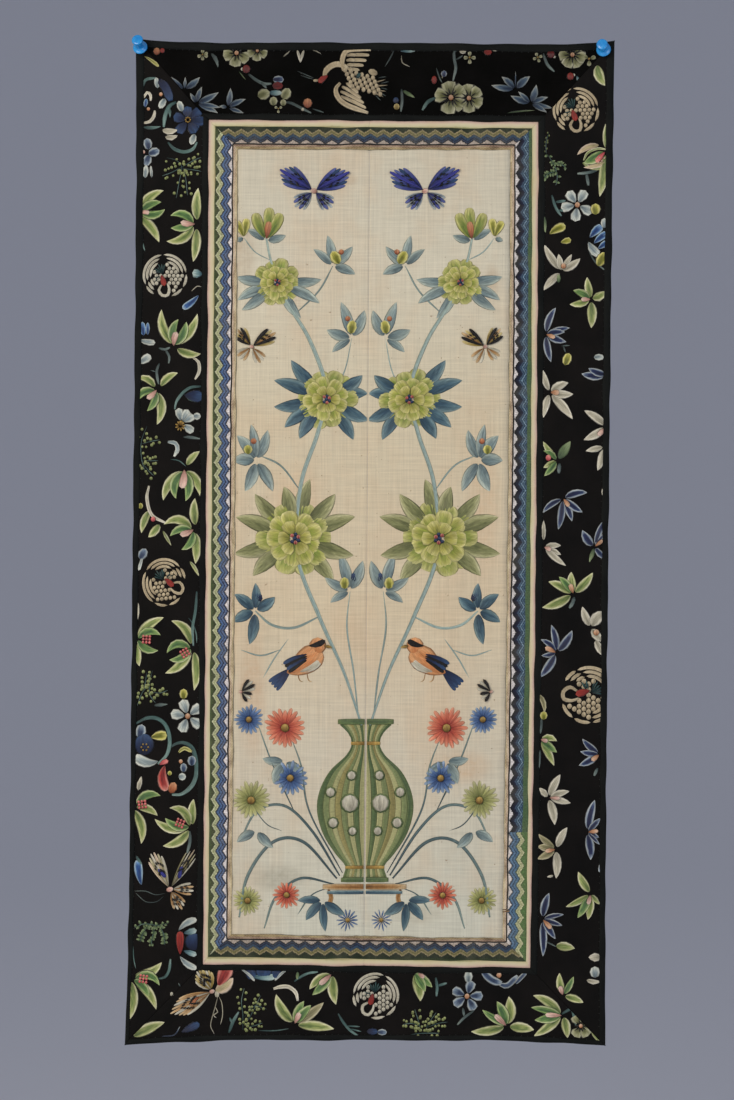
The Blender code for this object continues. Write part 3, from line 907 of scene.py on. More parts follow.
Dye = namedtuple("Dye", "colours shade form layer", defaults=(ALONG, POINTED, 0))
DYES = {
    # Magnolia petals, from the middle to the rim, and their hearts
    "lime": Dye(("#3a5230", "#6d8042", "#9ea562", "#c4c48e", "#dcd8b4"), OUTER_PETAL),
    "green": Dye(("#2c4a30", "#4b6e3c", "#7a9852", "#aab87c", "#d2d4a6"), SIDED, POINTED, 1),
    "drab": Dye(("#57573c", "#827c56", "#a69d76", "#c6be9c"), OUTER_PETAL),
    "blue": Dye(("#161c3a", "#1f2c52", "#32486c", "#8794a0", "#babfba"), RIMMED),
    "cream": Dye(("#7f7a68", "#a9a38c", "#cac3aa", "#dfd9c6"), PALE_RIM),
    "blush": Dye(("#8f8a62", "#b6a67c", "#d0b898", "#dccab2"), OUTER_PETAL),
    "pink": Dye(("#b08070", "#cba08e", "#dcc2b0"), ALONG, ROUNDED, 2),
    "coral": Dye(("#b03f4a", "#c9625e", "#db8f82"), ALONG, ROUNDED, 2),
    "peach": Dye(("#a56c46", "#c1906a", "#d8b698"), ALONG, ROUNDED, 2),
    # Stems
    "teal": Dye(("#2f4644", "#4b6862", "#768f86"), ALONG),
    "grey": Dye(("#36423f", "#4e5d5a", "#7c8980"), ALONG),
    # Leaf stars, berries, plum blossoms, buds and birds
    "star": Dye(("#162238", "#263b54", "#4c6274", "#8f9998", "#b8baae"), DARK_HUB, SLENDER),
    "berry": Dye(("#4a582c", "#818a50", "#adb27c"), (0.1, 0.5, 0.0, 0.3), OVAL),
    "leaflet": Dye(("#3a5034", "#5d7148", "#929f74"), ALONG),
    "plum": Dye(("#55582f", "#808054", "#a1a078", "#bfbc9e"), (0.05, 0.3, 0.0, 0.65), ROUNDED),
    "white": Dye(("#5c6b72", "#8f9c9b", "#b9c0b4", "#d6d6c8"), (0.1, 0.3, 0.0, 0.6), ROUNDED),
    "steel": Dye(("#283650", "#465a74", "#83939e", "#b4b9b2"), RIMMED, ROUNDED),
    "fan": Dye(("#2c4a58", "#4c7078", "#8ca8a4", "#b8c4ba"), ALONG, ROUNDED),
    "navy": Dye(("#10162c", "#1a2848", "#2f486a"), ALONG, ROUNDED),
    "gold": Dye(("#63491e", "#947434", "#bb9a50"), ALONG, OVAL, 3),
    "azure": Dye(("#1c3766", "#2c568e", "#5c86b0", "#b0c4c8"), RIMMED, ROUNDED),
    "yellow": Dye(("#686a1e", "#969432", "#c0b858", "#d8d08c"), RIMMED, ROUNDED, 1),
    "orange": Dye(("#843f22", "#ae6840", "#c48e66"), ALONG, ROUNDED, 1),
    "red": Dye(("#5c1412", "#84241c", "#9e3a2c"), EVEN, ROUNDED, 2),
    "rose": Dye(("#7c1f1e", "#a83a30", "#c4786a", "#d6b09c"), (-0.1, 0.3, 0.0, 0.6), ROUNDED, 1),
    "dark_red": Dye(("#3e0e10", "#5e1818", "#782822"), EVEN, ROUNDED, 1),
    "crane": Dye(("#9c9681", "#bab49e", "#d0cbb8"), (0.2, 0.4, 0.0, 0.2), ROUNDED),
    "beige": Dye(("#8e7e60", "#b5a483", "#cfc09e"), (0.2, 0.4, 0.0, 0.2), BLUNT),
    "crane_teal": Dye(("#142e30", "#234442", "#456662"), ALONG, SLENDER, 1),
    "ink": Dye(("#0d0b09", "#171310"), EVEN, BLADE, 3),
    "violet": Dye(("#26266c", "#3a3f90"), EVEN, BLUNT, 4),
    "brown": Dye(("#5a3a1c", "#8e6230", "#b58c58", "#c9b088"), (0.1, 0.5, 0.0, 0.4), ROUNDED),
    "ochre": Dye(("#5c4a1c", "#8f7834", "#b39a58", "#cfc08c"), (0.1, 0.5, 0.0, 0.4), ROUNDED),
}


def stitch_columns(width, layer):
    """Places of a shape's stitch rows from edge to edge, and how many at each edge are shaded."""
    pairs = int(np.clip(width / (2.0 * COLUMN_WIDTH) - 0.4, 0.0, 4.0))
    if not pairs and layer <= 2:
        return np.array([-1.0, 0.0, 1.0]), 1
    inner = np.linspace(-INNER_SPAN, INNER_SPAN, 1 + 2 * max(pairs, 1))
    return np.array([-1.0, -EDGE_LINE, *inner, EDGE_LINE, 1.0]), 2 if pairs else 1


class Needlework:
    """Gathers the stitched shapes of one piece."""

    def __init__(self, face, seed, edge_shade=EDGE_SHADE):
        self.face = face
        self.edge_shade = edge_shade
        # A factor on every dye of the piece; below 1 it is painted shade
        self.tone = 1.0
        self.random = np.random.default_rng(seed)
        self.shapes = []

    def shape(self, dye, spine, widths, bend=0.0, layer=None, cross=False, dome=0.42, deep=0.0):
        """Adds a shape: its dye's name, a spine of places and its width at each."""
        dye = DYES[dye]
        if layer is None:
            layer = 2 * dye.layer + len(self.shapes) % 2
        start, on_way, to_side, near_edge = dye.shade
        if bend < 0.0:
            start, to_side = start + to_side, -to_side
        spine = np.asarray(spine, float)
        widths = np.maximum(np.asarray(widths, float) * EDGE_ALLOWANCE, 0.12)
        way = np.gradient(spine, axis=0)
        way = way / np.maximum(np.hypot(way[:, :1], way[:, 1:]), 1e-9)
        normal = np.stack([-way[:, 1], way[:, 0]], axis=1)
        across, edge = stitch_columns(widths.max(), layer)
        columns = len(across)
        offset = across[None, :] * widths[:, None] / 2.0
        places = spine[:, None, :] + normal[:, None, :] * offset[:, :, None]
        steps = np.hypot(*np.diff(spine, axis=0).T)
        along = np.concatenate([[0.0], np.cumsum(steps)])
        share = along / max(along[-1], 1e-9)
        fullness = np.sqrt(np.clip(1.0 - across**2, 0.0, 1.0))
        ends = smooth(np.minimum(share, 1.0 - share) * 7.0)[:, None] * 0.75 + 0.25
        ridge = FLOSS_RIDGE * (-1.0) ** np.arange(columns)
        height = self.face + layer * LAYER + (dome * fullness + ridge) * ends
        height[:, 0] = height[:, -1] = self.face - SUNK_EDGE
        value = start + on_way * share[:, None] + to_side * (across * 0.5 + 0.5)
        tip = (share[:, None] - TIP_START) / (1.0 - TIP_START)
        rim = np.maximum((np.abs(across) / RIM_START) ** 3, tip)
        value = value + near_edge * np.clip(rim, 0.0, 1.0)
        value = value + self.random.normal(0.0, DYE_SPREAD, value.shape)
        colours = np.array([colour(code)[:3] for code in dye.colours])
        stops = np.linspace(0.0, 1.0, len(colours))
        shades = np.stack([np.interp(value, stops, colours[:, k]) for k in range(3)], axis=-1)
        bright = self.random.normal(1.0, ROW_SPREAD, (1, columns, 1))
        shades = self.tone * shades * np.clip(bright, 0.72, 1.25)
        # Painted shade: darker towards the shape's base, as where petals gather at a hub
        shades = shades * (1.0 - deep * (1.0 - share[:, None, None]) ** 3)
        # Painted shade along both edges of each shape, for the gaps between shapes
        shades[:, :edge] *= self.edge_shade
        shades[:, -edge:] *= self.edge_shade
        along_grid = np.broadcast_to(along[:, None], offset.shape)
        thread = (along_grid, offset) if cross else (offset, along_grid)
        thread = np.stack(thread, axis=-1) + self.random.uniform(0.0, 9.0)
        self.shapes.append(np.concatenate([places, height[:, :, None], thread, shades], axis=-1))

    def petal(self, dye, base, tip, width, bend=0.0, form=None, deep=0.35, **more):
        """A petal or leaf from its base to its tip. Bend is how far its middle stands to the left."""
        base, tip = np.array(base, float), np.array(tip, float)
        length = math.dist(base, tip)
        rows = int(min(14, max(5, length / ROW_LENGTH)))
        share = (1.0 - np.cos(np.linspace(0.0, math.pi, rows))) / 2.0
        left = np.array([base[1] - tip[1], tip[0] - base[0]]) / max(length, 1e-9)
        spine = base + (tip - base) * share[:, None]
        spine = spine + left * (bend * 4.0 * share * (1.0 - share))[:, None]
        widths = width * width_share(share, form or DYES[dye].form)
        widths = widths * self.random.uniform(0.97, 1.03, rows)
        self.shape(dye, spine, widths, bend, deep=deep, **more)

    def dot(self, dye, x, z, radius, stretch=1.0, turn=90.0, **more):
        """A round or oval shape about a place."""
        base, tip = polar((x, z), turn + 180.0, radius * stretch), polar((x, z), turn, radius * stretch)
        more.setdefault("form", OVAL)
        self.petal(dye, base, tip, 2.0 * radius, **more)

    def stem(self, dye, width, points, form=None, taper=0.5, dome=0.34, **more):
        """A stem or feather along a smooth curve through a few points."""
        curve = smooth_curve(points)
        share = np.linspace(0.0, 1.0, len(curve))
        if form is None:
            run_in = np.minimum(1.0, 4.0 * np.minimum(share, 1.0 - share))
            widths = width * (1.0 - taper + taper * run_in)
        else:
            widths = width * width_share(share, form)
        self.shape(dye, curve, widths, dome=dome, **more)

    def finish(self, name, lines=(), unfolded=None):
        """Makes the piece. Only what lies on the positive side of every line stays."""
        whole, crossing = [], []
        for table in self.shapes:
            if unfolded:
                table[..., 0] = unfolded(table[..., 0], table[..., 1])
            depths = [line(table[..., 0], table[..., 1]) for line, _ in lines]
            if any(depth.max() <= 0.05 for depth in depths):
                continue
            inside = all(depth.min() >= 0.0 for depth in depths)
            (whole if inside else crossing).append(table)
        points, faces = ring_mesh(whole)
        cut_points, cut_faces = cut_along(*ring_mesh(crossing), lines)
        faces = faces + [tuple(corner + len(points) for corner in face) for face in cut_faces]
        points = np.concatenate([points, cut_points])
        places = placed(points[:, 0], points[:, 1], points[:, 2])
        dye = np.concatenate([points[:, 5:8], np.ones((len(points), 1))], axis=1)
        piece = add_mesh(name, places, faces, points[:, 3:5], FLOSS_SILK, dye, closed=True)
        return keep(piece, None)


def width_share(share, form):
    rise, fall = form
    fullest = rise / (rise + fall)
    return share**rise * (1.0 - share) ** fall / (fullest**rise * (1.0 - fullest) ** fall)


def smooth_curve(points, step=1.7):
    """Places along a Catmull-Rom curve through a few points."""
    points = np.asarray(points, float)
    ends = np.concatenate([[2.0 * points[0] - points[1]], points, [2.0 * points[-1] - points[-2]]])
    curve = []
    for a, b, c, d in zip(ends, ends[1:], ends[2:], ends[3:]):
        count = max(2, int(math.dist(b, c) / step))
        for part in np.arange(count) / count:
            bow = (2.0 * a - 5.0 * b + 4.0 * c - d) * part**2 + (3.0 * b - a - 3.0 * c + d) * part**3
            curve.append(0.5 * (2.0 * b + (c - a) * part + bow))
    curve.append(points[-1])
    return np.array(curve)


def ring_mesh(tables):
    """Joins the shapes: each one's rows are rings, closed underneath and at both ends."""
    points, faces, first = [np.zeros((0, 8))], [], 0
    for table in tables:
        rows, columns = table.shape[:2]
        points.append(table.reshape(-1, 8))
        index = first + np.arange(rows * columns).reshape(rows, columns)
        following = np.roll(index, -1, axis=1)
        quads = np.stack([index[:-1], following[:-1], following[1:], index[1:]], axis=-1)
        faces.extend(map(tuple, quads.reshape(-1, 4).tolist()))
        faces.append(tuple(index[0, ::-1].tolist()))
        faces.append(tuple(index[-1].tolist()))
        first += rows * columns
    return np.concatenate(points), faces


def cut_along(points, faces, lines):
    """Cuts joined shapes along lines, keeps the positive side of each and closes the cuts."""
    work = bmesh.new()
    layers = [work.verts.layers.float.new(f"value_{k}") for k in range(8)]
    made = []
    for row in points.tolist():
        vert = work.verts.new((row[0], row[2], row[1]))
        for layer, value in zip(layers, row):
            vert[layer] = value
        made.append(vert)
    for face in faces:
        work.faces.new([made[corner] for corner in face])
    for line, axis in lines:
        work.verts.ensure_lookup_table()
        values = np.array([[vert[layer] for layer in layers] for vert in work.verts]).reshape(-1, 8)
        depths = line(values[:, 0], values[:, 1])
        for vert, value, depth in zip(work.verts, values, depths):
            vert.co = (depth, value[2], value[1]) if axis == "x" else (value[0], value[2], depth)
        bmesh.ops.bisect_plane(
            work, geom=work.verts[:] + work.edges[:] + work.faces[:], dist=1e-5,
            plane_co=(0.0, 0.0, 0.0), plane_no=(1.0, 0.0, 0.0) if axis == "x" else (0.0, 0.0, 1.0),
            clear_inner=True,
        )
        open_edges = [edge for edge in work.edges if edge.is_boundary]
        bmesh.ops.holes_fill(work, edges=open_edges, sides=0)
    work.verts.index_update()
    values = np.array([[vert[layer] for layer in layers] for vert in work.verts]).reshape(-1, 8)
    kept = [tuple(vert.index for vert in face.verts) for face in work.faces]
    work.free()
    return values, kept


def polar(place, turn, reach):
    angle = math.radians(turn)
    return (place[0] + reach * math.cos(angle), place[1] + reach * math.sin(angle))


def within(ring, side, way, limit):
    """A line to cut along: how far a place lies beyond one side of an outline."""
    upright = side in ("left", "right")
    x, z = side_points(ring, side, np.linspace(0.0, 1.0, 80))

    def depth(at_x, at_z):
        if upright:
            return way * (at_x - np.interp(-at_z, -z, x)) - limit
        return way * (at_z - np.interp(at_x, x, z)) - limit

    return depth, "x" if upright else "z"


# A border strip's needlework runs under the bindings a little and ends just short of the mitres
BORDER_LIP = 0.35
MITRE_INSET = 0.2
INWARDS = {"left": 1.0, "right": -1.0, "top": -1.0, "bottom": 1.0}


def strip_lines(side):
    """The lines that a border strip's needlework is cut along: its two sides and its two mitres."""
    lines = [
        within("frame_outer", side, INWARDS[side], -BORDER_LIP),
        within("frame_inner", side, -INWARDS[side], -BORDER_LIP),
    ]
    outer = np.array(side_ends("frame_outer", side))
    inner = side_ends("frame_inner", side)
    for corner, start, end in zip(outer[::-1], outer, inner):
        normal = np.array([start[1] - end[1], end[0] - start[0]])
        normal = normal / np.hypot(*normal)
        if (corner - start) @ normal < 0.0:
            normal = -normal

        def depth(x, z, start=start, normal=normal):
            return (x - start[0]) * normal[0] + (z - start[1]) * normal[1] - MITRE_INSET

        lines.append((depth, "x"))
    return lines


# Motifs


# Kinds of lily magnolia that the left strip has: dyes of the outer and inner petals and of the heart
LILIES = {
    "green": ("lime", "green", "pink"), "coral": ("lime", "green", "coral"),
    "blue": ("blue", "blue", "peach"), "cream": ("cream", "cream", "pink"),
}


def embroider_lily(work, kind, x, z, heart, outer, inner):
    """A lily magnolia: curved pointed petals about a small heart. Petals are turn, reach and bend."""
    outer_dye, inner_dye, heart_dye = LILIES[kind]
    for petals, dye in ((outer, outer_dye), (inner, inner_dye)):
        for turn, reach, bend in petals:
            base = polar((x, z), turn, 1.3 + 0.08 * reach)
            work.petal(dye, base, polar((x, z), turn, reach), min(7.4, 1.8 + 0.24 * reach), bend)
    turn, reach = heart
    if kind == "coral":
        for k in range(9):
            place = polar(polar((x, z), turn, reach - 2.6 + 2.3 * (k // 3)), turn + 90.0, 2.2 * (k % 3 - 1))
            work.dot(heart_dye, *place, 1.05)
    else:
        base = polar((x, z), turn, 1.5)
        work.petal(heart_dye, base, polar((x, z), turn, reach), 0.42 * reach, 0.8)


def embroider_spray(work, dye, radius, spread, count, *stems):
    """Berries or leaflets in pairs along fine stems."""
    for points in stems:
        work.stem("teal", 0.85, points)
        curve = smooth_curve(points)
        for k in range(count + count // 2):
            place = curve[int((k + 0.6) / (count + count // 2) * (len(curve) - 1))]
            way = curve[-1] - curve[0]
            away = work.random.uniform(40.0, 90.0) * (1 if k % 2 else -1)
            away = away + math.degrees(math.atan2(way[1], way[0]))
            off = polar(place, away, spread * work.random.uniform(0.55, 1.0))
            if dye == "leaflet":
                work.petal(dye, place, off, radius * 1.5, 0.3)
            else:
                work.dot(dye, *off, radius * work.random.uniform(0.78, 1.05), layer=k % 3)


def embroider_blossom(work, dye, x, z, radius, turns, heart="gold", rays=0, width=0.68):
    """A blossom of round petals with a small eye, and for plum its wide petals' dark rays."""
    for k, turn in enumerate(turns):
        base, tip = polar((x, z), turn, radius * 0.18), polar((x, z), turn, radius)
        work.petal(dye, base, tip, radius * (1.0 if rays else width), layer=k % 2)
    for k in range(rays):
        turn = 360.0 * k / rays + work.random.uniform(-5.0, 5.0)
        end = radius * work.random.uniform(0.48, 0.66)
        work.petal("ink", polar((x, z), turn, radius * 0.2), polar((x, z), turn, end), 1.05, layer=4)
    work.dot(heart, x, z, radius * 0.17, layer=4)


# A roundel's long wing feathers, which follow its rim: share of the radius, and the turns of its ends
ROUNDEL_FEATHERS = (
    (0.92, 9, 94), (0.77, 9, 86), (0.62, 12, 80), (0.92, 99, 204), (0.78, 108, 194), (0.64, 118, 186),
    (0.92, 208, 238), (0.77, 199, 232), (0.62, 192, 222), (0.92, 288, 324), (0.92, 328, 364),
)
# Where it has no scales, as shares of its radius: places and radii of its tail, crown and bent neck
ROUNDEL_GAPS = ((-0.26, 0.34, 0.27), (-0.08, -0.18, 0.18), (-0.04, -0.62, 0.35))


def embroider_roundel(work, x, z, radius, turn, dye="crane", flip=1, tall=1.0):
    """A roundel filled by a curled crane: wings round the rim, scaly back, bent neck, red crown."""

    def at(angle, share):
        off_x, off_z = polar((0.0, 0.0), turn + flip * angle, radius * share)
        return (x + off_x, z + off_z * tall)

    def spot(across, up):
        return at(math.degrees(math.atan2(up, across)), math.hypot(across, up))

    for share, start, end in ROUNDEL_FEATHERS:
        arc = [at(angle, share) for angle in np.linspace(start, end, max(3, (end - start) // 14))]
        work.stem(dye, 0.126 * radius, arc, BLUNT, cross=True)
    for row in range(-5, 6):
        for k in range(-5, 6):
            across, up = 0.185 * (k + 0.5 * (row % 2)), 0.16 * row
            reach = 0.8 if up < 0.04 and across > 0.0 else 0.5
            bare = any(math.hypot(across - h, up - v) < gap for h, v, gap in ROUNDEL_GAPS)
            if math.hypot(across, up) < reach and not bare:
                work.dot(dye, *spot(across, up), 0.09 * radius, layer=row % 2)
    for k in range(6):
        work.petal("crane_teal", spot(-0.08, 0.1), at(94 + 13 * k, 0.5 + 0.05 * (k % 3)), 0.085 * radius,
                   form=ROUNDED, layer=2)
    for k in range(2):
        work.petal("crane_teal", at(186 + 15 * k, 0.2), at(190 + 18 * k, 0.5), 0.1 * radius, layer=2)
    neck = (spot(-0.12, -0.36), spot(-0.27, -0.62), spot(-0.12, -0.85), spot(0.12, -0.83),
            spot(0.18, -0.56), spot(0.1, -0.34))
    work.stem(dye, 0.14 * radius, neck, cross=True, layer=3)
    work.petal("red", spot(-0.16, 0.04), spot(-0.02, -0.44), 0.27 * radius, layer=4)


def embroider_butterfly(work, x, z, body_radius, wings):
    """A butterfly: wings of streaks with dark cells. Wings are dyes, turn, reach, width and streaks."""
    for dyes, turn, reach, width, streaks in wings:
        middle = (streaks - 1) / 2.0
        for k in range(streaks):
            spread = math.degrees(width / reach) * (k - middle) / max(middle, 1.0) * 0.5
            end = reach * (1.0 - 0.07 * abs(k - middle))
            base = polar((x, z), turn + spread * 0.3, 1.2 * body_radius)
            tip = polar((x, z), turn + spread, end)
            work.petal(dyes[k % len(dyes)], base, tip, width / streaks, 0.35 * (k - middle),
                       form=ROUNDED)
            if reach > 14:
                for cell in (0.52, 0.72):
                    cell_place = polar((x, z), turn + spread * 0.8, end * cell)
                    work.dot("ink", *cell_place, 0.5, 2.4, turn + spread)
        if reach > 25:
            base, tip = polar((x, z), turn - 8.0, reach * 0.3), polar((x, z), turn + 4.0, reach * 0.56)
            work.petal("orange" if "brown" in dyes else "violet", base, tip, 3.0, layer=4)
    work.dot("pink", x, z, body_radius, 1.3, 20.0, layer=4)


def embroider(work, strip):
    """Stitches all that a strip's table lists."""
    for row in strip.get("lilies", ()):
        embroider_lily(work, *row)
    for x, z, petals in strip.get("flowers", ()):
        for dye, tips in petals.items():
            for tip_x, tip_z, *form in tips:
                base = (x + 0.1 * (tip_x - x), z + 0.1 * (tip_z - z))
                work.petal(dye, base, (tip_x, tip_z), *form)
    for dye, petals in strip.get("petals", {}).items():
        for x, z, tip_x, tip_z, *form in petals:
            work.petal(dye, (x, z), (tip_x, tip_z), *form)
    for dye, stems in strip.get("stems", {}).items():
        for width, *points in stems:
            work.stem(dye, width, points)
    for dye, dots in strip.get("dots", {}).items():
        for row in dots:
            work.dot(dye, *row)
    for row in strip.get("sprays", ()):
        embroider_spray(work, *row)
    for row in strip.get("blossoms", ()):
        embroider_blossom(work, *row)
    for row in strip.get("roundels", ()):
        embroider_roundel(work, *row)
    for row in strip.get("butterflies", ()):
        embroider_butterfly(work, *row)
